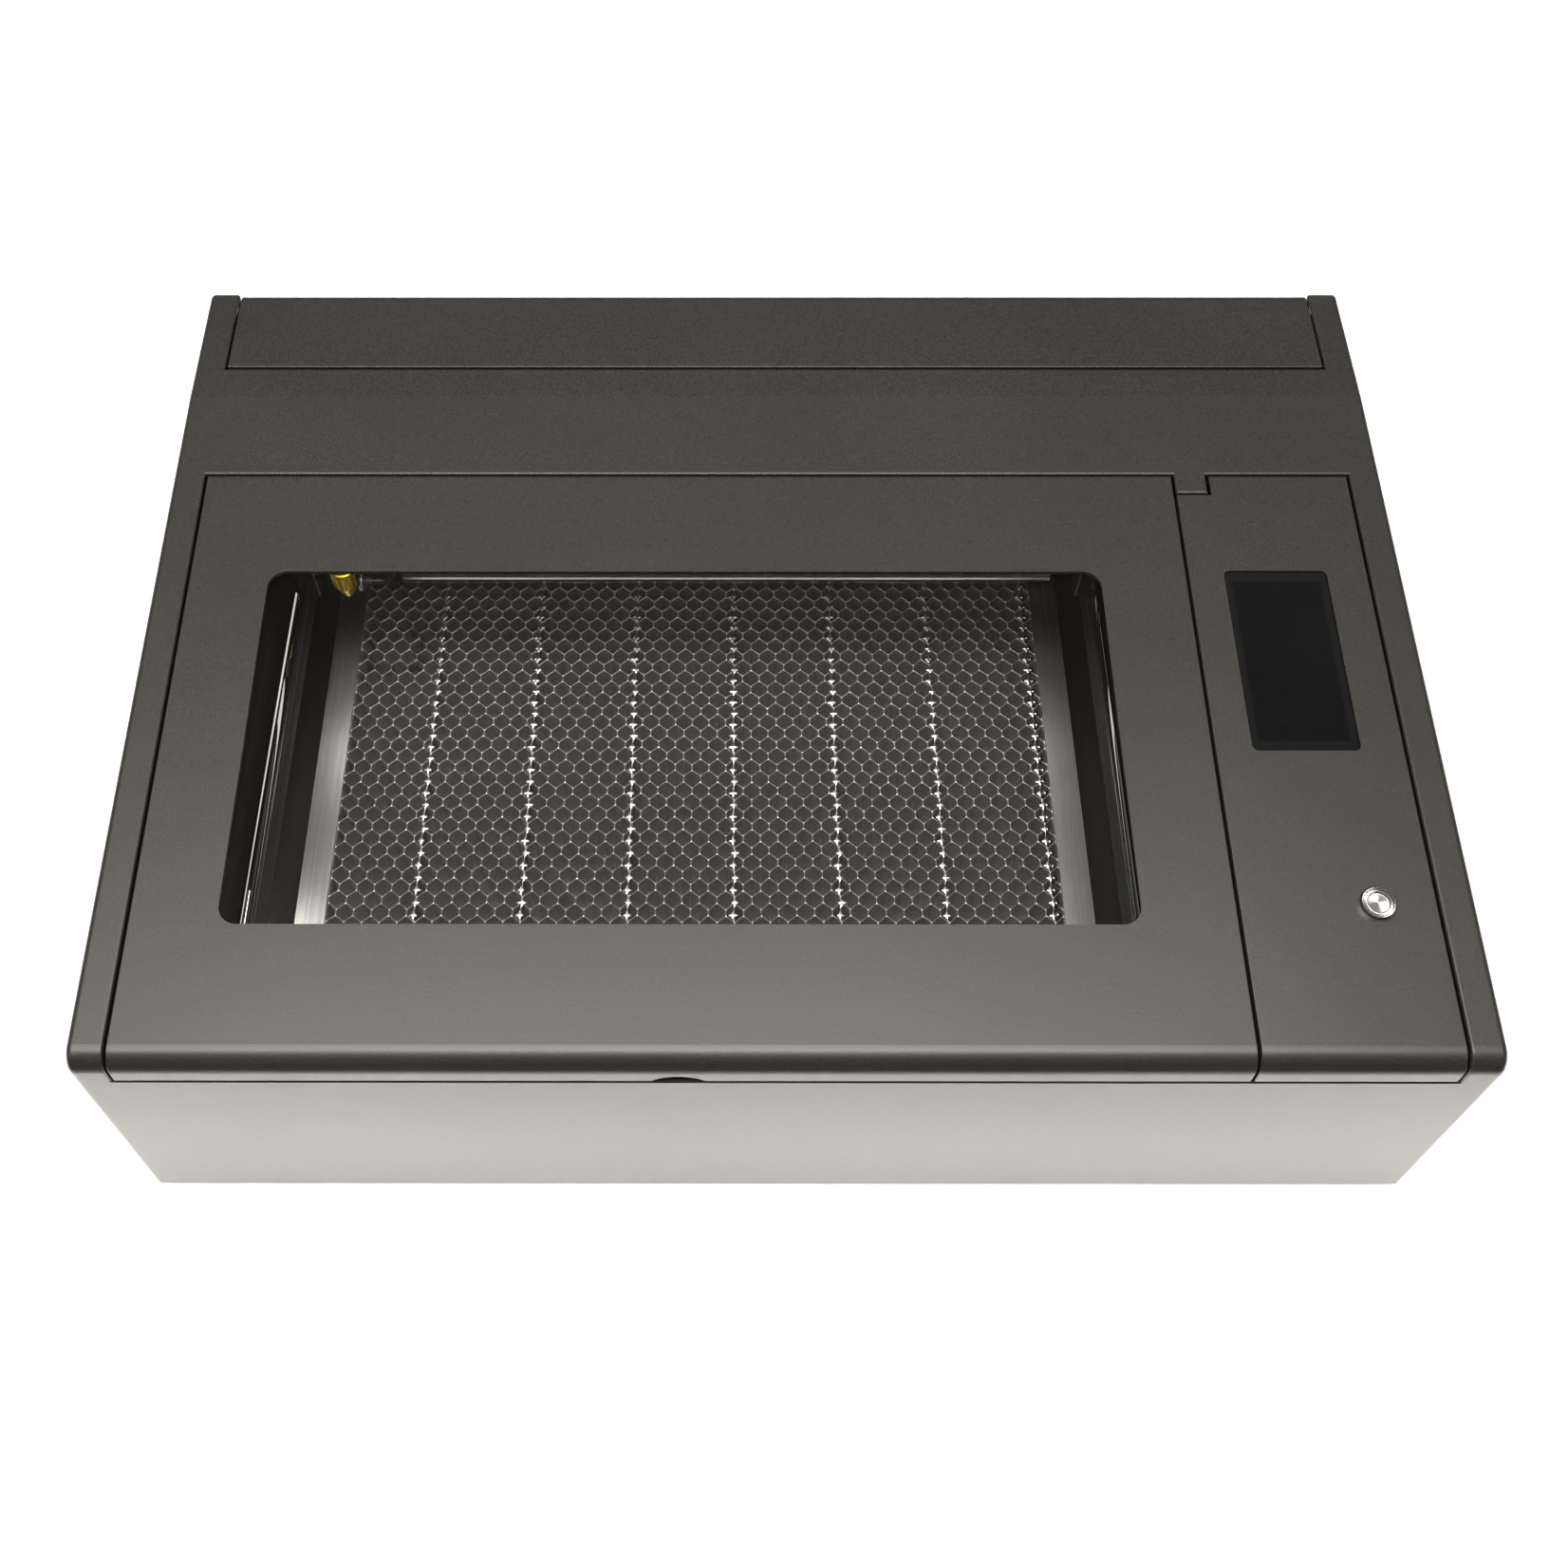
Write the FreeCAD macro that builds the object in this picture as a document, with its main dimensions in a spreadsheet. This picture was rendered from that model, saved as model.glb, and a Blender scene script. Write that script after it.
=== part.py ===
import FreeCAD, Part
import math
import os

import Sketcher
from FreeCAD import Placement, Rotation, Vector

# Desktop CO2 laser cutter: a sheet-steel case with a sloping top, a glazed lid over the work
# chamber, a control console to its right, a rear cover over the laser tube, and a belt-driven
# gantry that carries a mirror and focusing head over a honeycomb bed.
# Frame: +X to the right, +Y to the rear, +Z up. The origin is the centre of the footprint.

DRIVING = {
    # case
    "case_width": 615, "case_depth": 445, "case_height": 177, "front_height": 159.2,
    "crease_y": 146, "skin": 2, "nose_radius": 10, "side_radius": 3, "edge_radius": 1.2,
    "foot_height": 8, "foot_radius": 14, "pan_thickness": 2, "cover_lip": 2, "weld_inset": 3,
    # openings and the joints between panels
    "joint_width": 1.4, "opening_half": 291.4, "divide_x": 201.5, "deck_front_y": 94,
    "tab_right_x": 218.4, "tab_front_y": 82, "front_split_z": 140, "lid_low_z": 142.4,
    "skirt_depth": 8, "cover_front_y": 166.6, "roll_radius": 6,
    # window in the lid
    "window_left": -251, "window_right": 158.6, "window_front": -156.9, "window_rear": 33.2,
    "window_radius": 9, "pane_overlap": 12, "pane_thickness": 3,
    "notch_radius": 16.3, "notch_depth": 4.8,
    # console
    "screen_left": 219.4, "screen_right": 270, "screen_front": -68.4, "screen_rear": 33.8,
    "screen_radius": 3, "screen_recess": 1, "button_x": 263, "button_y": -147.5,
    "button_radius": 8.2, "button_cap_radius": 4.9, "button_barrel_radius": 6,
    # work chamber and bed
    "chamber_left": -273, "chamber_right": 190, "chamber_front": -202, "chamber_rear": 135,
    "chamber_wall": 1.5, "floor_z": 24, "floor_thickness": 2,
    "bed_left": -229, "bed_right": 146, "bed_front": -145, "bed_rear": 114.6,
    "bar_width": 15, "bed_top_z": 60, "core_thickness": 20, "bar_proud": 1,
    # Y motion
    "rail_left_x": -259, "rail_right_x": 176, "rail_z": 92, "rail_radius": 4,
    "drive_y": 115, "idler_y": -186, "y_belt_z": 74, "shaft_radius": 3,
    "pulley_groove": 5.95, "pulley_flange": 7.4, "pulley_width": 8, "belt_width": 6,
    "belt_thickness": 1.2,
    # gantry
    "beam_front_y": 92, "beam_depth": 20, "beam_low_z": 102, "beam_height": 30,
    "beam_left": -270, "beam_right": 187, "skirt_drop": 12.4, "x_belt_z": 126, "x_drive_x": 168.5,
    "x_idler_x": -258, "x_rail_z": 110.5, "x_rail_height": 9, "x_rail_depth": 6.5,
    # head
    "head_x": -228, "head_y": 72, "head_low_z": 127.5, "head_high_z": 150,
    "barrel_radius": 6.5, "nozzle_z": 104.5, "optic_z": 142,
    # rear compartment
    "tube_y": 178, "tube_z": 142, "tube_radius": 25, "tube_left": -212, "tube_right": 286,
    "duct_x": -185, "duct_z": 62, "duct_radius": 38, "duct_wall": 2, "fan_size": 80,
    "fan_depth": 25,
    # hinges
    "hinge_y": 125, "hinge_z": 166, "hinge_pin_radius": 3, "arm_inner": 33.2,
    "arm_outer": 41, "arm_left_x": -285, "arm_right_x": 193, "arm_thickness": 4,
}

RUNNING = 0.05  # radial clearance of a shaft in its bearing
STRAIGHT_UP = Vector(0, 0, 1)


class Size:
    """A length that keeps both its number and the sheet expression that gives it."""

    def __init__(self, value, text):
        self.value = float(value)
        self.text = text

    def join(self, sign, other, value):
        return Size(value, f"({self.text} {sign} {as_size(other).text})")

    def __add__(self, other):
        return self.join("+", other, self.value + as_size(other).value)

    def __radd__(self, other):
        return as_size(other) + self

    def __sub__(self, other):
        return self.join("-", other, self.value - as_size(other).value)

    def __rsub__(self, other):
        return as_size(other) - self

    def __mul__(self, other):
        return self.join("*", other, self.value * as_size(other).value)

    def __rmul__(self, other):
        return as_size(other) * self

    def __truediv__(self, other):
        return self.join("/", other, self.value / as_size(other).value)

    def __neg__(self):
        return as_size(0) - self


def as_size(value):
    """A Size stays as it is, and a plain number becomes one."""
    return value if isinstance(value, Size) else Size(value, f"({value!r})")


class Sizes:
    """The driving dimensions, written to the sheet and read back as attributes."""

    def __init__(self, sheet, table):
        for row, (alias, value) in enumerate(table.items(), start=1):
            sheet.set(f"A{row}", alias)
            sheet.set(f"B{row}", str(value))
            sheet.setAlias(f"B{row}", alias)
            setattr(self, alias, Size(value, f"{sheet.Name}.{alias}"))


doc = FreeCAD.newDocument("laser_cutter")
dims_sheet = doc.addObject("Spreadsheet::Sheet", "dims")
d = Sizes(dims_sheet, DRIVING)
doc.recompute()
nodes = {}


# ---------------------------------------------------------------- modelling helpers
def node(name, made):
    """Names a finished sub-part. Its label is its file's name."""
    made.Label = name
    nodes[name] = made
    return made


def bind(made, **sizes):
    """Binds properties to the sheet. A double underscore in a name stands for a dot."""
    for key, size in sizes.items():
        made.setExpression(key.replace("__", "."), as_size(size).text)


def move(made, x=0, y=0, z=0, turn=None):
    """Places an object, turned first, at a point bound to the sheet."""
    x, y, z = as_size(x), as_size(y), as_size(z)
    made.Placement = Placement(Vector(x.value, y.value, z.value), turn or Rotation())
    bind(made, Placement__Base__x=x, Placement__Base__y=y, Placement__Base__z=z)
    return made


def box(x, y, z, name="block"):
    """A block from (low, high) pairs."""
    made = doc.addObject("Part::Box", name)
    bind(made, Length=x[1] - as_size(x[0]), Width=y[1] - as_size(y[0]), Height=z[1] - as_size(z[0]))
    return move(made, x[0], y[0], z[0])


TURNS = {
    "X": Rotation(Vector(0, 1, 0), 90),
    "Y": Rotation(Vector(1, 0, 0), -90),
    "Z": Rotation(),
}


def keep(made, x, y, z):
    """The part of an object that lies inside a block."""
    inside = doc.addObject("Part::Common", "kept")
    inside.Base, inside.Tool = made, box(x, y, z)
    return inside


def rod(axis, a, b, span, radius, name="rod"):
    """A cylinder along an axis. a and b are its other two coordinates, in X, Y, Z order."""
    made = doc.addObject("Part::Cylinder", name)
    bind(made, Radius=radius, Height=span[1] - as_size(span[0]))
    at = {"X": (span[0], a, b), "Y": (a, span[0], b), "Z": (a, b, span[0])}[axis]
    return move(made, *at, turn=TURNS[axis])


def cut(base, *tools):
    """base without the tools."""
    for tool in tools:
        made = doc.addObject("Part::Cut", "cut")
        made.Base, made.Tool = base, tool
        base = made
    return base


def fuse(*pieces):
    """Pieces joined into one solid."""
    base = pieces[0]
    for piece in pieces[1:]:
        made = doc.addObject("Part::Fuse", "joined")
        made.Base, made.Tool = base, piece
        made.Refine = True
        base = made
    return base


def group(*pieces):
    """Separate solids that share one node."""
    made = doc.addObject("Part::Compound", "group")
    made.Links = list(pieces)
    return made


def tube(axis, a, b, span, outer, inner):
    """A round sleeve."""
    longer = (span[0] - as_size(1), span[1] + as_size(1))
    return cut(rod(axis, a, b, span, outer), rod(axis, a, b, longer, inner))


def rounded_block(x, y, z, radius, axis="Z"):
    """A block whose four edges along an axis are rounded."""
    base = box(x, y, z)
    doc.recompute()
    made = doc.addObject("Part::Fillet", "rounded")
    made.Base = base
    along = {"X": Vector(1, 0, 0), "Y": Vector(0, 1, 0), "Z": STRAIGHT_UP}[axis]
    made.Edges = [
        (i, radius, radius)
        for i, edge in enumerate(base.Shape.Edges, start=1)
        if abs(edge.tangentAt(0).dot(along)) > 0.99
    ]
    return made


def new_body(name):
    return doc.addObject("PartDesign::Body", name)


def plane_of(body, role):
    return [o for o in body.Origin.OriginFeatures if o.Role == role + "_Plane"][0]


def draw(body, plane, loops=(), circles=(), offset=0):
    """A sketch of closed outlines and circles, every coordinate bound to the sheet."""
    sketch = body.newObject("Sketcher::SketchObject", "sketch")
    sketch.AttachmentSupport = [(plane_of(body, plane), "")]
    sketch.MapMode = "FlatFace"
    offset = as_size(offset)
    sketch.AttachmentOffset = Placement(Vector(0, 0, offset.value), Rotation())
    bind(sketch, AttachmentOffset__Base__z=offset)

    def pin_point(geometry, which, point):
        for kind, size in zip(("DistanceX", "DistanceY"), point):
            size = as_size(size)
            rule = sketch.addConstraint(
                Sketcher.Constraint(kind, -1, 1, geometry, which, size.value)
            )
            sketch.setExpression(f"Constraints[{rule}]", size.text)

    for loop in loops:
        points = [Vector(as_size(p[0]).value, as_size(p[1]).value, 0) for p in loop]
        first = sketch.GeometryCount
        count = len(points)
        for i in range(count):
            sketch.addGeometry(Part.LineSegment(points[i], points[(i + 1) % count]), False)
        for i in range(count):
            after = first + (i + 1) % count
            sketch.addConstraint(Sketcher.Constraint("Coincident", first + i, 2, after, 1))
        for i in range(count):
            pin_point(first + i, 1, loop[i])
    for x, y, radius in circles:
        x, y, radius = as_size(x), as_size(y), as_size(radius)
        ring = Part.Circle(Vector(x.value, y.value, 0), STRAIGHT_UP, radius.value)
        index = sketch.addGeometry(ring, False)
        pin_point(index, 3, (x, y))
        rule = sketch.addConstraint(Sketcher.Constraint("Radius", index, radius.value))
        sketch.setExpression(f"Constraints[{rule}]", radius.text)
    return sketch


def pad(body, sketch, length, midplane=False):
    made = body.newObject("PartDesign::Pad", "pad")
    made.Profile = sketch
    made.Midplane = midplane
    bind(made, Length=length)
    doc.recompute()
    return made


def pocket(body, sketch, length, midplane=False, forward=False):
    """Cuts against the sketch's normal, or along it if forward. It has to remove something."""
    before = body.Shape.Volume
    made = body.newObject("PartDesign::Pocket", "pocket")
    made.Profile = sketch
    made.Midplane = midplane
    made.Reversed = forward
    bind(made, Length=length)
    doc.recompute()
    if not body.Shape.Volume < before - 1:
        raise RuntimeError(f"a pocket in {body.Name} cut nothing")
    return made


def revolve(body, sketch):
    """A turned piece: the sketch's own vertical axis is its axis."""
    made = body.newObject("PartDesign::Revolution", "turned")
    made.Profile = sketch
    made.ReferenceAxis = (sketch, ["V_Axis"])
    made.Angle = 360
    doc.recompute()
    return made


def turned(name, outline, x=0, y=0, z=0, turn=None):
    """A turned body from (radius, height) points, standing on its own axis before it is placed."""
    body = new_body(name)
    revolve(body, draw(body, "XZ", [outline]))
    return move(body, x, y, z, turn)


def round_edges(body, radius, wanted):
    """Rounds the edges whose ends satisfy wanted(first, last)."""
    tip = body.Tip
    names = [
        f"Edge{i}"
        for i, edge in enumerate(tip.Shape.Edges, start=1)
        if len(edge.Vertexes) == 2 and wanted(edge.Vertexes[0].Point, edge.Vertexes[1].Point)
    ]
    if not names:
        raise RuntimeError(f"no edge of {body.Name} to round")
    made = body.newObject("PartDesign::Fillet", "rounding")
    made.Base = (tip, names)
    bind(made, Radius=radius)
    doc.recompute()
    return made


def near(value, size, slack=0.05):
    return abs(value - as_size(size).value) < slack


# ---------------------------------------------------------------- the case's own shape
half_width = d.case_width / 2
front_y = -(d.case_depth / 2)
case_rear_y = d.case_depth / 2 - d.cover_lip
case_low_z = d.foot_height + d.pan_thickness
fall = (d.case_height - d.front_height) / (d.crease_y + d.case_depth / 2)
slope = Rotation(Vector(1, 0, 0), math.degrees(math.atan(fall.value)))


def top_z(y):
    """Height of the sloping top at y, for y in front of the crease."""
    return d.case_height - fall * (d.crease_y - y)


def on_slope(made):
    """Places a piece that was modelled with the crease line of the top at its origin."""
    return move(made, 0, d.crease_y, d.case_height, slope)


def slope_y(y):
    """y of a point of the top, measured from the crease down the slope."""
    return (y - d.crease_y) * (1 / math.cos(math.atan(fall.value)))


def nose_profile(rear, low, depth):
    """Section of a panel that runs down the top and over the nose to low, depth thick."""
    return [
        (rear, top_z(rear)),
        (front_y, top_z(front_y)),
        (front_y, low),
        (front_y + depth, low),
        (front_y + depth, top_z(front_y + depth) - depth),
        (rear, top_z(rear) - depth),
    ]


def round_nose(body, depth):
    """Rounds the nose of a panel, outside and inside."""
    outer, inner = front_y, front_y + depth

    def on_nose(y, high):
        return lambda a, b: (
            near(a.y, y) and near(b.y, y) and near(a.z, high) and near(b.z, high)
            and abs(a.x - b.x) > 1
        )

    round_edges(body, d.nose_radius, on_nose(outer, top_z(outer)))
    return on_nose(inner, top_z(inner) - depth)


def make_outer_case():
    """The whole sheet-steel shell, folded and welded from five panels whose joints are flush."""
    body = new_body("shell")
    section = [
        (front_y, case_low_z),
        (front_y, d.front_height),
        (d.crease_y, d.case_height),
        (case_rear_y, d.case_height),
        (case_rear_y, case_low_z),
    ]
    pad(body, draw(body, "YZ", [section]), d.case_width, midplane=True)
    round_nose(body, d.skin)

    def on_a_side(a, b):
        return (
            near(abs(a.x), half_width) and near(abs(b.x), half_width)
            and near(a.x, b.x) and a.z + b.z > 2 * case_low_z.value + 1
        )

    round_edges(body, d.side_radius, on_a_side)
    # hollow it from below, which leaves the skin
    inner_front, inner_rear = front_y + d.skin, case_rear_y - d.skin
    nose_cut = d.nose_radius - d.skin
    cavity = [
        (inner_front, case_low_z - 1),
        (inner_front, top_z(inner_front) - d.skin - nose_cut),
        (inner_front + nose_cut * 0.3, top_z(inner_front) - d.skin - nose_cut * 0.3),
        (inner_front + nose_cut, top_z(inner_front + nose_cut) - d.skin),
        (d.crease_y, d.case_height - d.skin),
        (inner_rear, d.case_height - d.skin),
        (inner_rear, case_low_z - 1),
    ]
    pocket(body, draw(body, "YZ", [cavity]), d.case_width - d.skin * 2, midplane=True)
    # opening for the lid and the console, from the front split upwards
    beyond = 5
    tab_left = d.divide_x + d.joint_width / 2
    opening = [
        (-d.opening_half, front_y - beyond),
        (d.opening_half, front_y - beyond),
        (d.opening_half, d.deck_front_y),
        (d.tab_right_x, d.deck_front_y),
        (d.tab_right_x, d.tab_front_y),
        (tab_left, d.tab_front_y),
        (tab_left, d.deck_front_y),
        (-d.opening_half, d.deck_front_y),
    ]
    pocket(body, draw(body, "XY", [opening], offset=d.front_split_z), 60, forward=True)
    # opening for the rear cover
    cover_edge = d.cover_front_y - d.joint_width
    rear_wall_top = d.case_height - d.roll_radius * 2 - 1
    opening = [
        (-d.opening_half, cover_edge),
        (d.opening_half, cover_edge),
        (d.opening_half, case_rear_y + beyond),
        (-d.opening_half, case_rear_y + beyond),
    ]
    pocket(body, draw(body, "XY", [opening], offset=rear_wall_top), 60, forward=True)
    # folded edges round the openings catch the light
    high = d.case_height.value - 25

    def on_an_opening(a, b):
        on_top = a.z > high and b.z > high
        on_skin = all(
            near(p.z, d.case_height if p.y >= d.crease_y.value - 0.01 else top_z(p.y), 0.02)
            for p in (a, b)
        )
        inside = all(abs(p.x) <= d.opening_half.value + 0.1 for p in (a, b))
        front = max(a.y, b.y) > d.tab_front_y.value - 1 and min(a.y, b.y) < cover_edge.value + 1
        return on_top and on_skin and inside and front and a.distanceToPoint(b) > 2

    round_edges(body, d.edge_radius, on_an_opening)
    # rear wall: duct outlet, power inlet and switch, data ports
    pocket(
        body,
        draw(
            body, "XZ",
            loops=[INLET_HOLE, SWITCH_HOLE, PORT_HOLE],
            circles=[(d.duct_x, d.duct_z, d.duct_radius + d.duct_wall + 0.2)],
            offset=-(case_rear_y + 1),
        ),
        d.skin + 3,
        forward=True,
    )
    beyond = half_width + 1
    weld = d.opening_half - d.weld_inset
    middle = (-weld, weld)
    high = (0, d.case_height + 1)
    deep = (-beyond, beyond)
    rear_bend = d.cover_front_y + 20
    node("side_panels", group(
        keep(body, (-beyond, -weld), deep, high), keep(body, (weld, beyond), deep, high)
    ))
    node("end_panels", group(
        keep(body, middle, (-beyond, 0), high), keep(body, middle, (rear_bend, beyond), high)
    ))
    node("top_deck", keep(body, middle, (0, rear_bend), high))


def rectangle(x, z):
    return [(x[0], z[0]), (x[1], z[0]), (x[1], z[1]), (x[0], z[1])]


INLET_X, INLET_Z = (256, 284), (22, 44)
SWITCH_X, SWITCH_Z = (259, 281), (54, 70)
SWITCH_TILT = 7
PORT_X, PORT_Z = (168, 206), (24, 42)
INLET_HOLE = rectangle(INLET_X, INLET_Z)
SWITCH_HOLE = rectangle(SWITCH_X, SWITCH_Z)
PORT_HOLE = rectangle(PORT_X, PORT_Z)

FOOT_INSET = 34
FOOT_SPOTS = [
    (half_width * sx - FOOT_INSET * sx, (d.case_depth / 2) * sy - FOOT_INSET * sy)
    for sx in (-1, 1)
    for sy in (-1, 1)
]


def make_base():
    body = new_body("base_pan")
    outline = rectangle((-half_width + 1, half_width - 1), (front_y + 1, case_rear_y - 1))
    pad(body, draw(body, "XY", [outline], offset=d.foot_height), d.pan_thickness)
    # rows of vent slots under the electronics
    slots = [rectangle((205 + 14 * i, 211 + 14 * i), (-170, -110)) for i in range(6)]
    slots += [rectangle((205 + 14 * i, 211 + 14 * i), (-40, 20)) for i in range(6)]
    pocket(body, draw(body, "XY", slots, offset=case_low_z + 1), d.pan_thickness + 2)
    node("base_pan", body)
    shape = [
        (0, 0), (d.foot_radius - 2, 0), (d.foot_radius, 2), (d.foot_radius - 1, d.foot_height),
        (0, d.foot_height),
    ]
    feet = [turned("foot", shape, x, y) for x, y in FOOT_SPOTS]
    node("rubber_feet", group(*feet))
    # button-head screws along the rear wall, their heads flat on it
    spots = [(x, z) for x in (-290, -100, 60, 225, 296) for z in (18, 156)]
    head = [(0, 0), (3.5, 0), (3.2, 1.2), (1.6, 1.9), (0, 1.9)]
    screws = [turned("screw", head, x, case_rear_y, z, TURNS["Y"]) for x, z in spots]
    node("case_screws", group(*screws))


# ---------------------------------------------------------------- lid and its window
lid_left = -d.opening_half + d.joint_width
lid_right = d.divide_x - d.joint_width / 2
lid_rear = d.deck_front_y - d.joint_width


def skirted_panel(name, left, right, rear):
    """A panel with a nose: a skin with a folded skirt along both sides and the rear."""
    body = new_body(name)
    section = nose_profile(rear, d.lid_low_z, d.skirt_depth)
    pad(body, draw(body, "YZ", [section], offset=left), right - left)
    round_nose(body, d.skirt_depth)
    skin = d.skin
    bend = d.nose_radius - skin
    hollow_front = front_y + skin
    hollow = [
        (rear - skin, top_z(rear - skin) - skin),
        (hollow_front + bend, top_z(hollow_front + bend) - skin),
        (hollow_front + bend * 0.3, top_z(hollow_front) - skin - bend * 0.3),
        (hollow_front, top_z(hollow_front) - skin - bend),
        (hollow_front, d.lid_low_z - 1),
        (hollow_front + 20, d.lid_low_z - 1),
        (hollow_front + 20, top_z(hollow_front + 20) - skin - 20),
        (rear - skin, top_z(rear - skin) - skin - 20),
    ]
    pocket(
        body,
        draw(body, "YZ", [hollow], offset=left + skin),
        right - left - skin * 2,
        forward=True,
    )
    return body


def round_upright(body, radius, x, y):
    """Rounds the upright edges at the corners of a rectangular opening."""
    round_edges(
        body,
        radius,
        lambda a, b: any(near(a.x, v) for v in x) and any(near(a.y, v) for v in y)
        and near(a.x, b.x) and near(a.y, b.y) and abs(a.z - b.z) > 0.5,
    )


def round_rim(body, left, right, rear):
    """Rounds the top edges of a panel along its sides and rear."""
    def on_rim(a, b):
        on_skin = all(near(p.z, top_z(p.y), 0.02) for p in (a, b))
        sides = near(a.x, b.x) and (near(a.x, left) or near(a.x, right))
        back = near(a.y, b.y) and near(a.y, rear)
        return on_skin and (sides or back)

    round_edges(body, d.edge_radius / 2, on_rim)


def make_lid():
    body = skirted_panel("lid_frame", lid_left, lid_right, lid_rear)
    window_x = (d.window_left, d.window_right)
    window_y = (d.window_front, d.window_rear)
    pocket(body, draw(body, "XY", [rectangle(window_x, window_y)], offset=200), 100)
    round_upright(body, d.window_radius, window_x, window_y)
    # finger recess in the front lip, on the window's centre line
    middle = (d.window_left + d.window_right) / 2
    recess = draw(
        body, "XZ", circles=[(middle, d.lid_low_z + d.notch_depth - d.notch_radius, d.notch_radius)],
        offset=-(front_y + 8),
    )
    pocket(body, recess, 12, forward=True)
    round_rim(body, lid_left, lid_right, lid_rear)
    node("lid_frame", body)

    # tinted pane glued under the skin, held by a retainer frame
    over = d.pane_overlap
    pane_x = (d.window_left - over, d.window_right + over)
    pane_y = (slope_y(d.window_front - over), slope_y(d.window_rear + over))
    body = new_body("lid_window")
    pad(body, draw(body, "XY", [rectangle(pane_x, pane_y)], offset=-(d.skin + d.pane_thickness)),
        d.pane_thickness)
    round_upright(body, 6, pane_x, pane_y)
    node("lid_window", on_slope(body))

    body = new_body("window_retainer")
    rim = 3
    outer_x = (pane_x[0] - 6, pane_x[1] + 6)
    outer_y = (pane_y[0] - 6, pane_y[1] + 6)
    inner_x = (d.window_left - rim, d.window_right + rim)
    inner_y = (slope_y(d.window_front) - rim, slope_y(d.window_rear) + rim)
    low = -(d.skin + d.pane_thickness + 1.5)
    pad(body, draw(body, "XY", [rectangle(outer_x, outer_y), rectangle(inner_x, inner_y)],
                   offset=low), 1.5)
    node("window_retainer", on_slope(body))

    # camera under the rear edge of the lid, looking down on the bed
    block = rounded_block((-60, -32), (-84, -66), (-16, -d.skin), 3)
    lens = rod("Z", -46, -75, (-18, -16), 4)
    node("lid_camera", on_slope(fuse(block, lens)))
    # rubber stops under the lid's front corners
    stops = [rod("Z", x, slope_y(-204), (-RIM_DROP, -d.skin), 4) for x in (-280, 180)]
    node("lid_bumpers", on_slope(group(*stops)))


def make_lid_hinges():
    """Swan-neck arms that carry the lid round the front edge of the deck.

    Returns the fixed brackets that hold their pins.
    """
    arms = []
    for left in (d.arm_left_x, d.arm_right_x):
        body = new_body("lid_hinge_arm")
        beyond = d.arm_outer + 5
        # a ring about the pivot, less the quarters that the neck doesn't use
        pad(body, draw(body, "YZ", circles=[
            (d.hinge_y, d.hinge_z, d.arm_outer), (d.hinge_y, d.hinge_z, d.arm_inner),
        ], offset=left), d.arm_thickness)
        pocket(body, draw(body, "YZ", [[
            (d.hinge_y - beyond, d.hinge_z + 0.2), (d.hinge_y - beyond, d.hinge_z + beyond),
            (d.hinge_y + beyond, d.hinge_z + beyond), (d.hinge_y + beyond, d.hinge_z - beyond),
            (d.hinge_y + 4, d.hinge_z - beyond), (d.hinge_y + 4, d.hinge_z + 0.2),
        ]], offset=left - 1), d.arm_thickness + 2, forward=True)
        # spoke up to the hub
        pad(body, draw(body, "YZ", [rectangle(
            (d.hinge_y - 4, d.hinge_y + 4), (d.hinge_z - d.arm_inner - 2, d.hinge_z)
        )], offset=left), d.arm_thickness)
        pad(body, draw(body, "YZ", circles=[(d.hinge_y, d.hinge_z, 6)], offset=left),
            d.arm_thickness)
        # foot under the lid's skin
        toe, heel = d.hinge_y - d.arm_outer - 22, lid_rear - d.skin - 0.2
        pad(body, draw(body, "YZ", [[
            (toe, top_z(toe) - d.skin), (toe, top_z(toe) - d.skin - 4),
            (d.hinge_y - d.arm_outer, d.hinge_z - 2.5), (heel, d.hinge_z - 2.5),
            (heel, top_z(heel) - d.skin),
        ]], offset=left), d.arm_thickness)
        pocket(body, draw(body, "YZ", circles=[
            (d.hinge_y, d.hinge_z, d.hinge_pin_radius + RUNNING)
        ], offset=left - 1), d.arm_thickness + 2, forward=True)
        arms.append(body)
    node("lid_hinge_arms", group(*arms))
    # a plate and pin for each arm, bolted to the partition
    brackets = []
    for left in (d.arm_left_x, d.arm_right_x):
        inner = left + d.arm_thickness + 0.5
        plate = box((inner, inner + 3), (118, d.chamber_rear), (146, 172))
        pin = rod("X", d.hinge_y, d.hinge_z, (left - 1.5, inner), d.hinge_pin_radius)
        brackets.append(fuse(plate, pin))
    return brackets


RIM_DROP = 12  # how far the seat that the lid closes on lies under the top


def make_rim():
    """Seat under the lid and console edges, which also closes the joints to light."""
    body = new_body("lid_rim")
    rear = slope_y(78)
    front = slope_y(front_y + d.skirt_depth + 2)
    outer = d.opening_half + 12
    side = 16
    loop = [
        (-outer, rear), (-outer, front), (outer, front), (outer, rear),
        (outer - 26, rear), (outer - 26, front + side),
        (d.divide_x + 8, front + side), (d.divide_x + 8, rear),
        (d.divide_x - 8, rear), (d.divide_x - 8, front + side),
        (-outer + side * 2, front + side), (-outer + side * 2, rear),
    ]
    pad(body, draw(body, "XY", [loop], offset=-(RIM_DROP + d.chamber_wall)), d.chamber_wall)
    # its front leg stands on a flange folded back from the front wall
    leg = [
        (front, -(RIM_DROP + 0.5)), (front + d.chamber_wall, -(RIM_DROP + 0.5)),
        (front + d.chamber_wall, -20), (front, -20),
    ]
    pad(body, draw(body, "YZ", [leg], offset=-outer), outer * 2)
    node("lid_rim", on_slope(body))


# ---------------------------------------------------------------- console
console_left = d.divide_x + d.joint_width / 2
console_right = d.opening_half - d.joint_width


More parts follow.
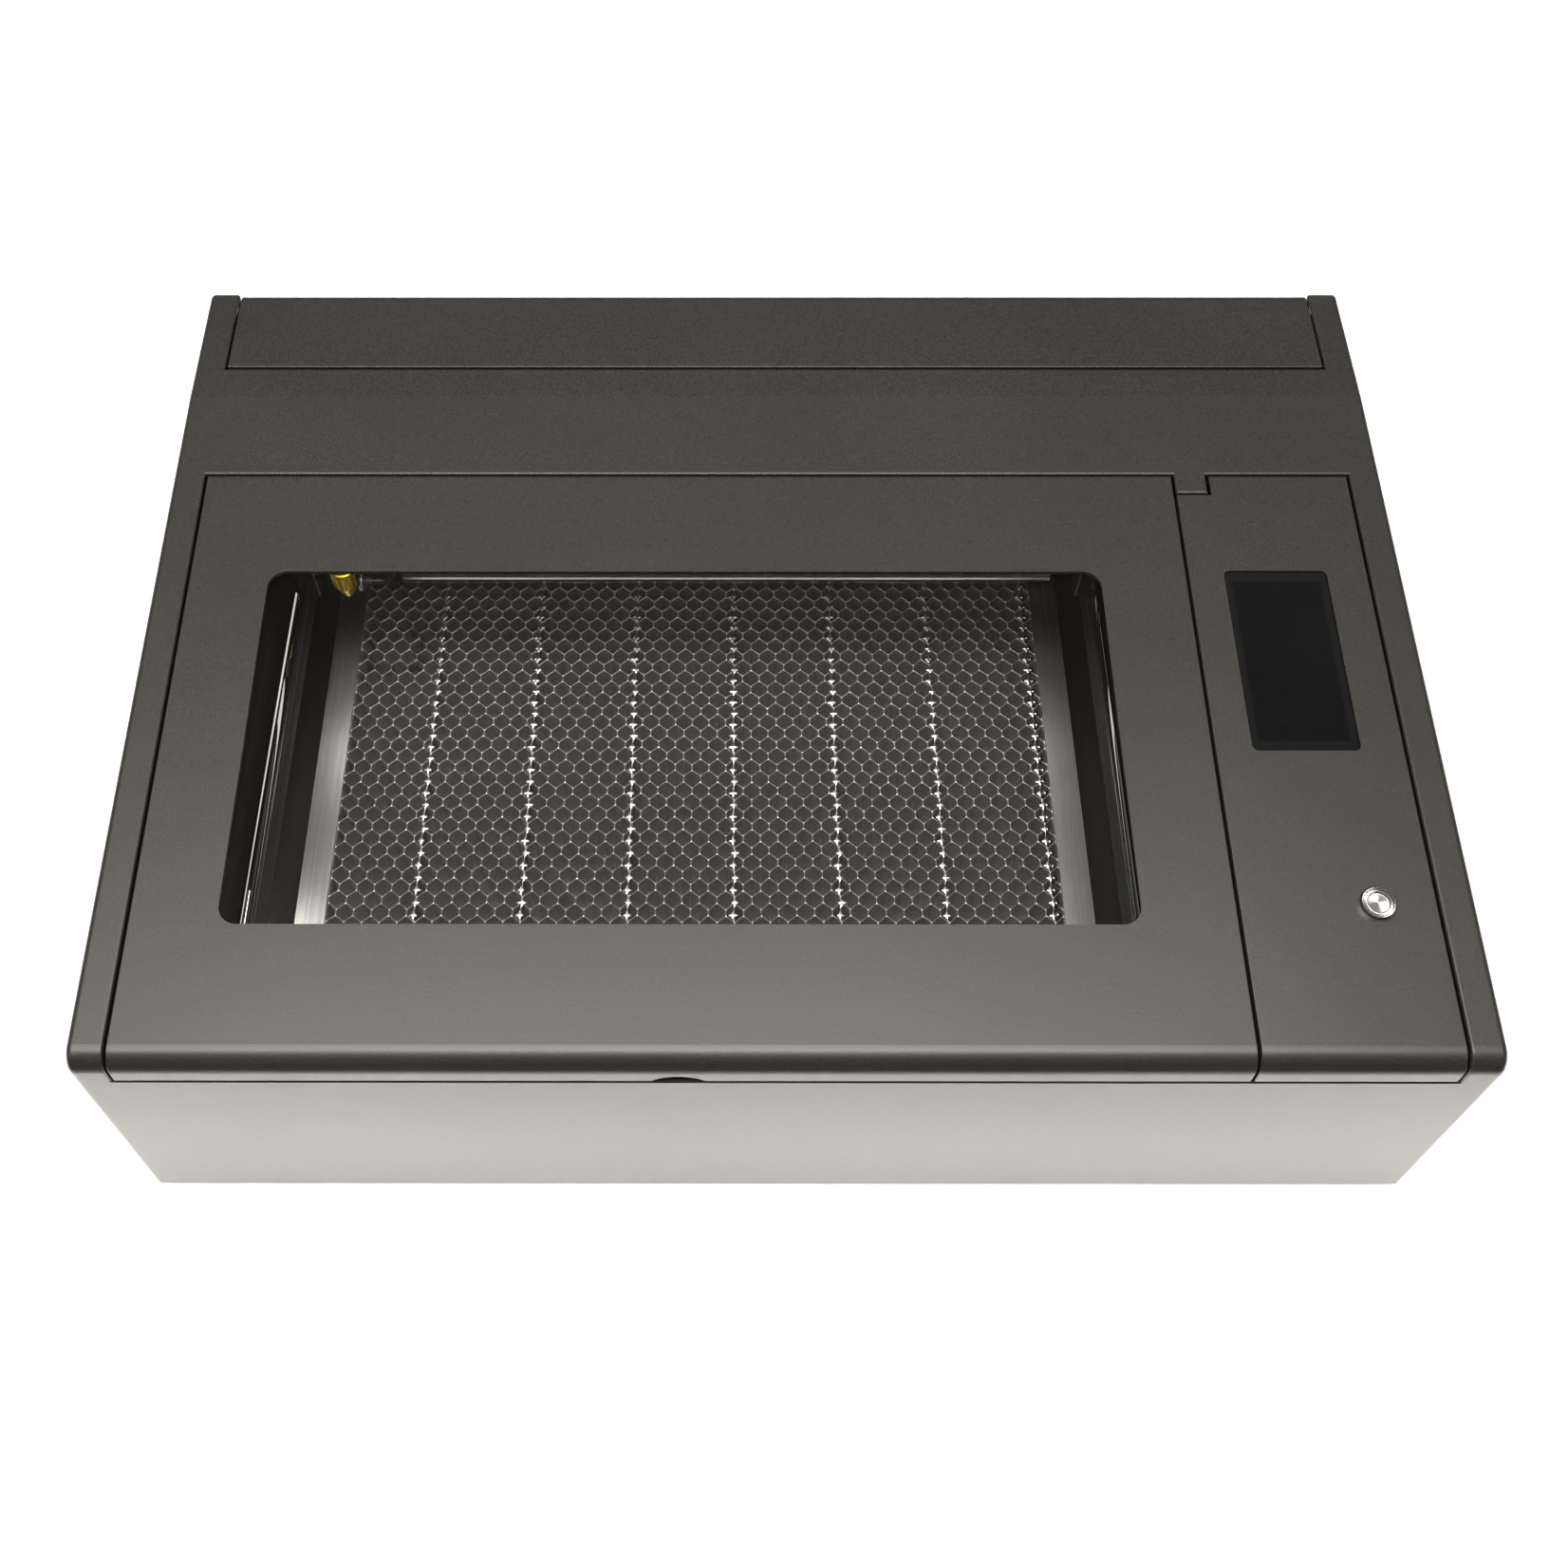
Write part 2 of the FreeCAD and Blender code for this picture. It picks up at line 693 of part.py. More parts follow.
def make_console():
    body = skirted_panel("console_panel", console_left, console_right, lid_rear)
    # clears the tab of the deck
    step_x, step_y = d.tab_right_x + d.joint_width, d.tab_front_y - d.joint_width
    pocket(body, draw(body, "XY", [rectangle(
        (console_left - 5, step_x), (step_y, d.deck_front_y + 5)
    )], offset=200), 100)
    screen_x = (d.screen_left, d.screen_right)
    screen_y = (d.screen_front, d.screen_rear)
    pocket(body, draw(body, "XY", [rectangle(screen_x, screen_y)], offset=200), 100)
    round_upright(body, d.screen_radius, screen_x, screen_y)
    pocket(body, draw(body, "XY", circles=[
        (d.button_x, d.button_y, d.button_barrel_radius + 0.1)
    ], offset=200), 100)
    round_rim(body, console_left, console_right, lid_rear)
    node("console_panel", body)

    # touch screen: its glass stands up inside the cut-out, with the display behind it
    inset = 0.25
    body = new_body("touch_screen")
    glass_x = (d.screen_left + inset, d.screen_right - inset)
    glass_y = (slope_y(d.screen_front) + inset + 0.1, slope_y(d.screen_rear) - inset - 0.1)
    pad(body, draw(body, "XY", [rectangle(glass_x, glass_y)], offset=-(d.skin + 1)),
        d.skin + 1 - d.screen_recess)
    round_upright(body, d.screen_radius - inset, glass_x, glass_y)
    node("touch_screen", on_slope(body))
    over = 5
    module = box(
        (d.screen_left - over, d.screen_right + over),
        (slope_y(d.screen_front) - over, slope_y(d.screen_rear) + over),
        (-(d.skin + 9), -(d.skin + 1)),
    )
    board = box(
        (d.screen_left - over + 3, d.screen_right + over - 3),
        (slope_y(d.screen_front) + 20, slope_y(d.screen_rear) - 8),
        (-(d.skin + 14), -(d.skin + 9)),
    )
    node("screen_module", on_slope(fuse(module, board)))


def on_button_axis(made):
    """Places a piece modelled about the button's axis, with the panel's face at zero."""
    return move(made, d.button_x, d.button_y, top_z(d.button_y), slope)


def make_button():
    barrel, cap = d.button_barrel_radius, d.button_cap_radius
    wall = cap + 0.1
    bezel = [
        (wall, -18), (barrel, -18), (barrel, 0), (d.button_radius, 0), (d.button_radius, 1.9),
        (d.button_radius - 0.9, 2.9), (d.button_radius - 1.3, 2.9),
        (d.button_radius - 1.7, 2.5), (wall + 0.3, 2.5), (wall, 2.2),
    ]
    ring = turned("bezel", bezel)
    nut = cut(
        rod("Z", 0, 0, (-(d.skin + 3), -d.skin), 8.5),
        rod("Z", 0, 0, (-(d.skin + 4), -(d.skin - 1)), barrel),
    )
    node("button_bezel", on_button_axis(group(ring, nut)))
    dish = [(0, -12), (cap, -12), (cap, 2), (cap - 0.4, 2.3), (0, 2.2)]
    body = turned("power_button", dish)
    node("power_button", on_button_axis(body))


# ---------------------------------------------------------------- work chamber and bed
def make_chamber():
    wall, floor = d.chamber_wall, d.floor_z
    left, right = d.chamber_left, d.chamber_right
    front, rear = d.chamber_front, d.chamber_rear
    drop = RIM_DROP + wall + 0.4
    node("chamber_floor", box((left - wall, right + wall), (front - wall, rear),
                              (floor - d.floor_thickness, floor)))
    sides = []
    for low in (left - wall, right):
        body = new_body("side_wall")
        section = [
            (front - wall, floor), (rear, floor), (rear, top_z(rear) - drop),
            (front - wall, top_z(front - wall) - drop),
        ]
        pad(body, draw(body, "YZ", [section], offset=low), wall)
        if low is right:
            pocket(body, draw(body, "YZ", circles=[(d.drive_y, d.y_belt_z, 6)],
                              offset=low - 1), wall + 2, forward=True)
        sides.append(body)
    end = box((left, right), (front - wall, front), (floor, top_z(front - wall) - drop))
    node("chamber_walls", group(*sides, end))

    body = new_body("rear_partition")
    across = (-half_width + 4, half_width - 4)
    pad(body, draw(body, "XZ", [rectangle(across, (case_low_z, 172))], offset=-(rear + wall)),
        wall)
    pocket(body, draw(body, "XZ", circles=[
        (d.duct_x, d.duct_z, d.duct_radius), (BEAM_X, d.optic_z, 8),
    ], offset=-(rear + wall + 1)), wall + 2, forward=True)
    node("rear_partition", body)


def make_bed():
    bar = d.bar_width
    left, right, front, rear = d.bed_left, d.bed_right, d.bed_front, d.bed_rear
    height = (d.floor_z, d.bed_top_z + d.bar_proud)
    node("bed_frame", group(
        box((left - bar, left), (front - bar, rear + bar), height),
        box((right, right + bar), (front - bar, rear + bar), height),
        box((left, right), (front - bar, front), height),
        box((left, right), (rear, rear + bar), height),
    ))
    core_low = d.bed_top_z - d.core_thickness
    within = 0.2
    area = ((left + within, right - within), (front + within, rear - within))
    node("bed_plate", box(*area, (core_low - 2, core_low)))
    node("honeycomb_core", box(*area, (core_low, d.bed_top_z)))


# ---------------------------------------------------------------- motion
BEAM_X = -250  # where the laser beam runs along the left side


def pulley(length, bore=0):
    """(radius, height) outline of a flanged belt pulley, standing on its axis."""
    flange, groove = d.pulley_flange, d.pulley_groove
    return [
        (bore, 0), (flange, 0), (flange, 0.8), (groove, 0.8), (groove, length - 0.8),
        (flange, length - 0.8), (flange, length), (bore, length),
    ]


def belt(axis, first, last, height, low):
    """A closed belt round two pulleys of one size, in a plane at right angles to axis."""
    inner = d.pulley_groove + 0.05
    outer = inner + d.belt_thickness
    span = (low, low + d.belt_width)

    def racetrack(radius, span):
        if axis == "X":
            ends = [rod("X", y, height, span, radius) for y in (first, last)]
            run = box(span, (first, last), (height - radius, height + radius))
        else:
            ends = [rod("Y", x, height, span, radius) for x in (first, last)]
            run = box((first, last), span, (height - radius, height + radius))
        return fuse(run, *ends)

    longer = (low - 1, low + d.belt_width + 1)
    return cut(racetrack(outer, span), racetrack(inner, longer))


def make_y_axis():
    rails = (d.rail_left_x, d.rail_right_x)
    ends = ((d.chamber_front, d.chamber_front + 10), (d.chamber_rear - 10, d.chamber_rear))
    node("y_rails", group(*[
        rod("Y", x, d.rail_z, (d.chamber_front + 2, d.chamber_rear - 2), d.rail_radius)
        for x in rails
    ]))
    supports = []
    for x in rails:
        for y in ends:
            block = box((x - 8, x + 8), y, (d.rail_z - 8, d.rail_z + 8))
            hole = rod("Y", x, d.rail_z, (y[0] - 1, y[1] + 1), d.rail_radius + 0.02)
            supports.append(cut(block, hole))
    # bearings of the drive shaft and stub axles of the front pulleys, on the side walls
    for span in ((d.chamber_left, d.chamber_left + 4), (d.chamber_right - 4, d.chamber_right)):
        supports.append(tube("X", d.drive_y, d.y_belt_z, span, 6, d.shaft_radius + RUNNING))
    stubs = ((d.chamber_left, d.rail_left_x + 5), (d.rail_right_x - 5, d.chamber_right))
    for span in stubs:
        supports.append(rod("X", d.idler_y, d.y_belt_z, span, 2.5))
    node("rail_supports", group(*supports))
    belts = [
        belt("X", d.idler_y, d.drive_y, d.y_belt_z, x - d.belt_width / 2) for x in rails
    ]
    node("y_belts", group(*belts))

    half = d.pulley_width / 2
    shaft = rod("X", d.drive_y, d.y_belt_z,
                (d.chamber_left + 0.5, d.chamber_right + 2.2), d.shaft_radius)
    wheels = [
        turned("drive_pulley", pulley(d.pulley_width), x - half, d.drive_y, d.y_belt_z,
               TURNS["X"])
        for x in rails
    ]
    node("y_drive_shaft", fuse(shaft, *wheels))
    node("y_idlers", group(*[
        turned("idler", pulley(d.pulley_width, 2.5 + RUNNING), x - half, d.idler_y,
               d.y_belt_z, TURNS["X"])
        for x in rails
    ]))
    motor_left = d.chamber_right + 2.5
    motor = rounded_block(
        (motor_left, motor_left + 36), (d.drive_y - 17.5, d.drive_y + 17.5),
        (d.y_belt_z - 17.5, d.y_belt_z + 17.5), 4, axis="X",
    )
    node("y_motor", motor)


def make_gantry():
    beam_y = (d.beam_front_y, d.beam_front_y + d.beam_depth)
    beam_z = (d.beam_low_z, d.beam_low_z + d.beam_height)
    trucks = []
    for x in (d.rail_left_x, d.rail_right_x):
        block = rounded_block((x - 10, x + 10), (87, 117), (82.2, d.beam_low_z), 2)
        trucks.append(cut(block, rod("Y", x, d.rail_z, (80, 124), d.rail_radius + RUNNING)))
    node("y_trucks", group(*trucks))

    # slotted extrusion with a ribbed skirt below, and the stub axle of its left pulley
    body = new_body("x_beam")
    slot_low, slot_high = beam_z[0] + 12, beam_z[0] + 18
    middle = d.beam_front_y + d.beam_depth / 2
    section = [
        (beam_y[0], beam_z[0]), (beam_y[1], beam_z[0]), (beam_y[1], slot_low),
        (beam_y[1] - 5, slot_low), (beam_y[1] - 5, slot_high), (beam_y[1], slot_high),
        (beam_y[1], beam_z[1]), (middle + 3, beam_z[1]), (middle + 3, beam_z[1] - 5),
        (middle - 3, beam_z[1] - 5), (middle - 3, beam_z[1]), (beam_y[0], beam_z[1]),
    ]
    pad(body, draw(body, "YZ", [section], offset=d.beam_left), d.beam_right - d.beam_left)
    skirt = beam_z[0] - d.skirt_drop
    pad(body, draw(body, "YZ", [[
        (beam_y[0], skirt), (beam_y[0] + 5, skirt), (beam_y[0] + 5, beam_z[0] + 1),
        (beam_y[0], beam_z[0] + 1), (beam_y[0], skirt + 5.6), (beam_y[0] + 0.8, skirt + 5),
        (beam_y[0] + 0.8, skirt + 1.8), (beam_y[0], skirt + 1.2),
    ]], offset=d.rail_left_x + 24), d.rail_right_x - d.rail_left_x - 48)
    pocket(body, draw(body, "XZ", circles=[(d.x_drive_x, d.x_belt_z, 3)],
                      offset=-(beam_y[1] + 1)), d.beam_depth + 2, forward=True)
    stub = rod("Y", d.x_idler_x, d.x_belt_z, (BELT_FRONT - 0.9, beam_y[0]), 2.5)
    node("x_beam", fuse(body, stub))
    rail_z = (d.x_rail_z - d.x_rail_height / 2, d.x_rail_z + d.x_rail_height / 2)
    node("x_rail", box((d.beam_left + 6, d.beam_right - 6),
                       (beam_y[0] - d.x_rail_depth, beam_y[0]), rail_z))
    motor = rounded_block(
        (d.x_drive_x - 17.5, d.x_drive_x + 17.5), (beam_y[1] + 0.2, beam_y[1] + 20),
        (d.x_belt_z - 17.5, d.x_belt_z + 17.5), 4, axis="Y",
    )
    node("x_motor", motor)
    node("x_belt", belt("Y", d.x_idler_x, d.x_drive_x, d.x_belt_z, BELT_FRONT))
    wheel = turned("wheel", pulley(PULLEY_X_WIDTH), d.x_drive_x, BELT_FRONT - 0.9,
                   d.x_belt_z, TURNS["Y"])
    shaft = rod("Y", d.x_drive_x, d.x_belt_z, (BELT_FRONT, beam_y[1]), 2.5)
    node("x_drive_pulley", fuse(wheel, shaft))
    node("x_idler_pulley", turned(
        "x_idler_pulley", pulley(PULLEY_X_WIDTH, 2.5 + RUNNING), d.x_idler_x,
        BELT_FRONT - 0.9, d.x_belt_z, TURNS["Y"],
    ))
    # mirror that turns the beam along the gantry, on a bracket from the beam
    left = BEAM_X - 10
    block = box((left, BEAM_X + 7.5), (d.head_y - 9, d.head_y + 10), (135, 149))
    corner = cut(block, mirror_face(BEAM_X, d.head_y, 1, 1))
    arm = box((left - 3, left), (d.head_y - 9, beam_y[0] + 12), (135, 149))
    foot = box((left - 3, left + 12), (beam_y[0] + 1, beam_y[0] + 12), (beam_z[1], 136))
    node("gantry_mirror", fuse(corner, arm, foot))


BELT_FRONT = 85.0
PULLEY_X_WIDTH = 7.8


def mirror_face(x, y, to_x, to_y):
    """Cutter that leaves a mirror's face at 45 degrees, open towards two sides."""
    body = new_body("mirror_cut")
    x, y = as_size(x), as_size(y)
    reach = 30
    pad(body, draw(body, "XY", [[
        (x - reach * to_x, y + reach * to_y),
        (x + reach * to_x, y + reach * to_y),
        (x + reach * to_x, y - reach * to_y),
    ]], offset=100), 60)
    return body


BARREL_LENGTH = 33.5
LUG_X = (7.4, 8.8)  # from the barrel's axis
LUG_LOW_Z = 112


def make_head():
    x, y = d.head_x, d.head_y
    rail_y = d.beam_front_y - d.x_rail_depth
    rail_z = (d.x_rail_z - d.x_rail_height / 2, d.x_rail_z + d.x_rail_height / 2)
    plate_rear = rail_y - 3
    plate_front = plate_rear - 2
    runner = cut(
        box((x - 15, x + 15), (plate_rear, d.beam_front_y - 0.3), (rail_z[0] - 3, rail_z[1] + 2.8)),
        box((x - 20, x + 20), (rail_y - RUNNING, d.beam_front_y + 5),
            (rail_z[0] - RUNNING, rail_z[1] + RUNNING)),
    )
    plate = box((x - 13, x + 28), (plate_front, plate_rear), (101, 149))
    clip = box((x + 27, x + 31), (plate_front, plate_rear), (134, 148))
    node("x_carriage", fuse(runner, plate, clip))

    high = d.head_high_z
    # block bored for the barrel, its upper right edge sloped to carry the turning mirror
    body = new_body("head_body")
    pad(body, draw(body, "XZ", [[
        (x - 13, d.head_low_z), (x + 13, d.head_low_z), (x + 13, d.optic_z - 3),
        (x + 2, high), (x - 13, high),
    ]], offset=-plate_front), plate_front - y + 8.5)
    # lug beside the barrel that holds the end of the air hose
    pad(body, draw(body, "XZ", [rectangle(
        (x + LUG_X[0], x + LUG_X[1]), (LUG_LOW_Z, d.head_low_z + 1)
    )], offset=-(y + 5)), 10)
    bored = d.head_low_z - 1
    pocket(body, draw(body, "XY", circles=[(x, y, d.barrel_radius + RUNNING)], offset=bored),
           d.nozzle_z + BARREL_LENGTH + 0.4 - bored, forward=True)
    # relief at the front for gripping the ring
    pocket(body, draw(body, "XY", [rectangle((x - 14, x + 14), (y - 10, y - 4.5))],
                      offset=bored), 5, forward=True)
    pocket(body, draw(body, "XY", circles=[(x, y, 3)], offset=d.head_low_z),
           d.optic_z - d.head_low_z, forward=True)
    pocket(body, draw(body, "YZ", circles=[(y, d.optic_z, 3)], offset=x - 14), 14, forward=True)
    node("head_body", body)

    r = d.barrel_radius
    low = d.nozzle_z
    # fluted ring and nozzle below, plain sleeve above
    body = new_body("focus_barrel")
    revolve(body, draw(body, "XZ", [[
        (1.2, 0), (2.4, 0), (2.7, 2), (4.3, 3.2), (r - 0.3, 9), (r + 0.6, 11), (r + 0.6, 22.2),
        (r, 22.8), (r, BARREL_LENGTH), (r - 1.3, BARREL_LENGTH), (r - 1.3, 10), (1.2, 5),
    ]]))
    flute = body.newObject("PartDesign::Pocket", "flute")
    flute.Profile = draw(body, "XY", circles=[(r + 1.5, 0, 1.6)], offset=6)
    flute.Reversed = True
    flute.Length = 15.6
    ring = body.newObject("PartDesign::PolarPattern", "flutes")
    ring.Originals = [flute]
    ring.Axis = (flute.Profile[0], ["N_Axis"])
    ring.Angle = 360
    ring.Occurrences = 10
    body.Tip = ring
    node("focus_barrel", move(body, x, y, low))
    node("focus_lens", rod("Z", x, y, (low + 14, low + 16.5), r - 1.3))

    # knurled screw that clamps the barrel, in the right side of the head
    knob = [(0, 0), (4.5, 0), (5, 0.5), (5, 5), (4.5, 5.5), (0, 5.5)]
    body = turned("focus_knob", knob, x + 13.05, y, 135.5, TURNS["X"])
    node("focus_knob", body)
    node("air_hose", make_air_hose(plate_front.value))


def hose(points, radius, bend):
    """A round hose along straight runs joined by tangent arcs, with the bend radius given."""
    edges = []
    start = points[0]
    for before, corner, after in zip(points, points[1:], points[2:]):
        to_corner = (corner - before).normalize()
        to_after = (after - corner).normalize()
        turn = to_corner.getAngle(to_after)
        back = bend * math.tan(turn / 2)
        first = corner - to_corner * back
        last = corner + to_after * back
        inwards = (to_after - to_corner).normalize()
        middle = corner + inwards * (bend / math.cos(turn / 2) - bend)
        edges.append(Part.LineSegment(start, first).toShape())
        edges.append(Part.Arc(first, middle, last).toShape())
        start = last
    edges.append(Part.LineSegment(start, points[-1]).toShape())
    path = Part.Wire(edges)
    along = (points[1] - points[0]).normalize()
    section = Part.Wire([Part.Circle(points[0], along, radius).toShape()])
    return path.makePipeShell([section], True, True)


def make_air_hose(end_y):
    """Air hose from the lug beside the nozzle round to the clip on the carriage."""
    x, y, low = d.head_x.value, d.head_y.value, LUG_LOW_Z + 3
    made = doc.addObject("Part::Feature", "air_hose")
    made.Shape = hose([
        Vector(x + LUG_X[1], y, low), Vector(x + 24, y, low), Vector(x + 24, y, 141),
        Vector(x + 24, end_y, 141),
    ], 2, 4.5)
    return made


# ---------------------------------------------------------------- rear compartment
def make_optics():
    y, z, r = d.tube_y, d.tube_z, d.tube_radius
    length = d.tube_right - d.tube_left
    body = turned("laser_tube", [
        (0, 0), (9, 0), (9, 22), (r - 3, 26), (r, 29), (r, length - 29), (r - 3, length - 26),
        (9, length - 22), (9, length), (0, length),
    ], d.tube_left, y, z, TURNS["X"])
    nipples = [rod("Y", x, z, (y + 5, y + 18), 2.5) for x in (d.tube_left + 11, d.tube_right - 11)]
    node("laser_tube", fuse(body, *nipples))
    saddles = []
    for x in (-112, 232):
        post = box((x - 8, x + 8), (y - 20, y + 20), (case_low_z, z))
        saddles.append(cut(post, rod("X", y, z, (x - 10, x + 10), r + 0.02)))
    node("tube_saddles", group(*saddles))
    block = box((BEAM_X - 13, BEAM_X + 13), (y - 13, y + 13), (128, 156))
    holder = cut(block, mirror_face(BEAM_X, y, 1, -1))
    post = box((BEAM_X - 11, BEAM_X - 3), (y + 1, y + 9), (case_low_z, 130))
    node("fixed_mirror", fuse(holder, post))


def make_rear_units():
    low = case_low_z
    node("power_supplies", group(
        rounded_block((-92, 60), (139, 214), (low, 92), 3),  # high voltage, for the tube
        box((202, 298), (-190, 10), (low, 50)),  # direct current, for everything else
    ))
    tank = rounded_block((78, 214), (139, 200), (low, 88), 8)
    cap = rod("Z", 110, 158, (88, 98), 12)
    node("water_tank", fuse(tank, cap))
    # rubber cooling hoses from the tank to both ends of the tube
    made = doc.addObject("Part::Feature", "coolant_hoses")
    near_end = d.tube_right.value - 11
    far_end = d.tube_left.value + 11
    y, z = d.tube_y.value, d.tube_z.value
    back = y + d.tube_radius.value + 4
    runs = []
    for start, turn_off, end in ((206, 222, near_end), (90, 74, far_end)):
        runs.append(hose([
            Vector(start, 190, 88), Vector(start, 190, 100), Vector(turn_off, back, 108),
            Vector(end, back, 108), Vector(end, back, z), Vector(end, y + 18, z),
        ], 4, 6))
    made.Shape = Part.makeCompound(runs)
    node("coolant_hoses", made)

    x, z = d.duct_x, d.duct_z
    fan_y = (d.chamber_rear + d.chamber_wall, d.chamber_rear + d.chamber_wall + d.fan_depth)
    node("exhaust_duct", tube("Y", x, z, (fan_y[1], case_rear_y), d.duct_radius + d.duct_wall,
                              d.duct_radius))
    half = d.fan_size / 2
    frame = cut(
        rounded_block((x - half, x + half), fan_y, (z - half, z + half), 4, axis="Y"),
        rod("Y", x, z, (fan_y[0] - 1, fan_y[1] + 1), d.duct_radius - 0.5),
    )
    hub = rod("Y", x, z, (fan_y[0], fan_y[0] + 3), 13)
    struts = [
        box((x - 39, x + 39), (fan_y[0], fan_y[0] + 3), (z - 1.5, z + 1.5)),
        box((x - 1.5, x + 1.5), (fan_y[0], fan_y[0] + 3), (z - 39, z + 39)),
    ]
    node("exhaust_fan_frame", fuse(frame, hub, *struts))
    node("exhaust_fan_rotor", make_rotor(fan_y))


def make_rotor(fan_y):
    """A hub with seven pitched blades, turned about the duct's axis."""
    body = new_body("exhaust_fan_rotor")
    depth = 16
    pad(body, draw(body, "XY", circles=[(0, 0, 13)]), depth)
    blade = body.newObject("PartDesign::AdditiveLoft", "blade")
    root = draw(body, "YZ", [[(-5, 2), (-3.4, 1.4), (5, 13), (3.4, 13.6)]], offset=12)
    tip = draw(body, "YZ", [[(-9, 4), (-8, 3), (9, 11), (8, 12)]], offset=35.5)
    blade.Profile = root
    blade.Sections = [tip]
    doc.recompute()
    ring = body.newObject("PartDesign::PolarPattern", "blades")
    ring.Originals = [blade]
    ring.Axis = (plane_axis(body), [""])
    ring.Angle = 360
    ring.Occurrences = 7
    body.Tip = ring
    return move(body, d.duct_x, fan_y[0] + 4, d.duct_z, TURNS["Y"])


def plane_axis(body):
    return [o for o in body.Origin.OriginFeatures if o.Role == "Z_Axis"][0]


def make_rear_panel_parts():
    rear = case_rear_y
    # power entry: a moulded socket with three blades in it, and the well of the switch
    shell = box((INLET_X[0] + 0.2, INLET_X[1] - 0.2), (rear - 22, rear + 1),
                (INLET_Z[0] + 0.2, INLET_Z[1] - 0.2))
    hollow = box((INLET_X[0] + 2.5, INLET_X[1] - 2.5), (rear - 18, rear + 5),
                 (INLET_Z[0] + 2.7, INLET_Z[1] - 2.7))
    middle = (INLET_X[0] + INLET_X[1]) / 2
    blades = [
        box((middle + dx - 1, middle + dx + 1), (rear - 18, rear - 8), (31 + dz, 35 + dz))
        for dx, dz in ((-6, 0), (0, -2), (6, 0))
    ]
    x_mid, z_mid = (SWITCH_X[0] + SWITCH_X[1]) / 2, (SWITCH_Z[0] + SWITCH_Z[1]) / 2
    well = box((SWITCH_X[0] + 0.2, SWITCH_X[1] - 0.2), (rear - 16, rear + 1),
               (SWITCH_Z[0] + 0.2, SWITCH_Z[1] - 0.2))
    key_room = box((x_mid - 9.6, x_mid + 9.6), (rear - 13, rear + 5), (z_mid - 6, z_mid + 6))
    pivot = rod("Z", x_mid, rear - 4.5, (z_mid - 6, z_mid + 6), 1.5)
    well = fuse(cut(well, key_room), pivot)
    node("power_inlet", group(cut(shell, hollow), *blades, well))
    # the key rocks in the well; it rests with its left end out
    body = new_body("rocker_switch")
    pad(body, draw(body, "XY", [[
        (-8.4, 0.5), (-5, -3), (5, -3), (8.4, 0.5), (8.6, 4.7), (0, 3.4), (-8.6, 4.7),
    ]], offset=-5.8), 11.6)
    pocket(body, draw(body, "XY", circles=[(0, 0, 1.5 + RUNNING)], offset=-7), 14, forward=True)
    tilt = Rotation(Vector(0, 0, 1), -SWITCH_TILT)
    node("rocker_switch", move(body, x_mid, rear - 4.5, z_mid, tilt))
    ports = box((PORT_X[0] + 0.2, PORT_X[1] - 0.2), (rear - 16, rear),
                (PORT_Z[0] + 0.2, PORT_Z[1] - 0.2))
    sockets = [
        box(x, (rear - 12, rear + 5), (27, 39)) for x in ((171, 186), (189, 194.5), (197, 202.5))
    ]
    node("io_ports", cut(ports, *sockets))


def make_rear_cover():
    """Cover over the tube. Its rear edge rolls about the hinge pin. Returns the fixed pins."""
    radius = d.roll_radius
    axis_y, axis_z = d.case_depth / 2 - radius, d.case_height - radius
    left, right = -d.opening_half + d.joint_width, d.opening_half - d.joint_width
    body = new_body("rear_cover")
    skin = d.skin
    front = d.cover_front_y
    section = [
        (front, d.case_height), (axis_y, d.case_height), (axis_y, d.case_height - skin),
        (front + skin, d.case_height - skin), (front + skin, d.case_height - d.skirt_depth),
        (front, d.case_height - d.skirt_depth),
    ]
    pad(body, draw(body, "YZ", [section], offset=left), right - left)
    # the roll: a sleeve about the pin, open below and in front
    pad(body, draw(body, "YZ", circles=[(axis_y, axis_z, radius), (axis_y, axis_z, radius - skin)],
                   offset=left), right - left)
    pocket(body, draw(body, "YZ", [[
        (axis_y - 10, axis_z + radius - skin - 0.01), (axis_y, axis_z + radius - skin - 0.01),
        (axis_y, axis_z), (axis_y + 8, axis_z - 5), (axis_y + 8, axis_z - 12),
        (axis_y - 10, axis_z - 12),
    ]], offset=left - 1), right - left + 2, forward=True)
    # eyes that hold the roll on its pin
    for x in EYE_X:
        pad(body, draw(body, "YZ", circles=[
            (axis_y, axis_z, radius - skin + 0.1), (axis_y, axis_z, 2 + RUNNING)
        ], offset=x), 12)
    # slots that let the roll turn past the arms of the brackets
    for x in EYE_X:
        for low in (x - 6.6, x + 14.4):
            pocket(body, draw(body, "YZ", [rectangle(
                (axis_y - 8, axis_y + 8), (axis_z - 12, axis_z + 3.4)
            )], offset=low), 4.2, forward=True)
    skirts = rectangle((front, axis_y - 8), (d.case_height - d.skirt_depth, d.case_height - 0.5))
    for x in (left, right - skin):
        pad(body, draw(body, "YZ", [skirts], offset=x), skin)
    round_edges(body, d.edge_radius / 2, lambda a, b: (
        near(a.z, d.case_height) and near(b.z, d.case_height) and near(a.y, front)
        and near(b.y, front)
    ))
    node("rear_cover", body)
    pins = []
    for x in EYE_X:
        pin = rod("X", axis_y, axis_z, (x - 6, x + 18), 2)
        arms = [
            box((low, low + 3), (axis_y - 3, axis_y + 2), (axis_z - 9, axis_z + 1))
            for low in (x - 6, x + 15)
        ]
        base = box((x - 6, x + 18), (axis_y - 3, case_rear_y - d.skin), (axis_z - 13, axis_z - 9))
        pins.append(fuse(pin, *arms, base))
    return pins


EYE_X = (-240, -6, 228)


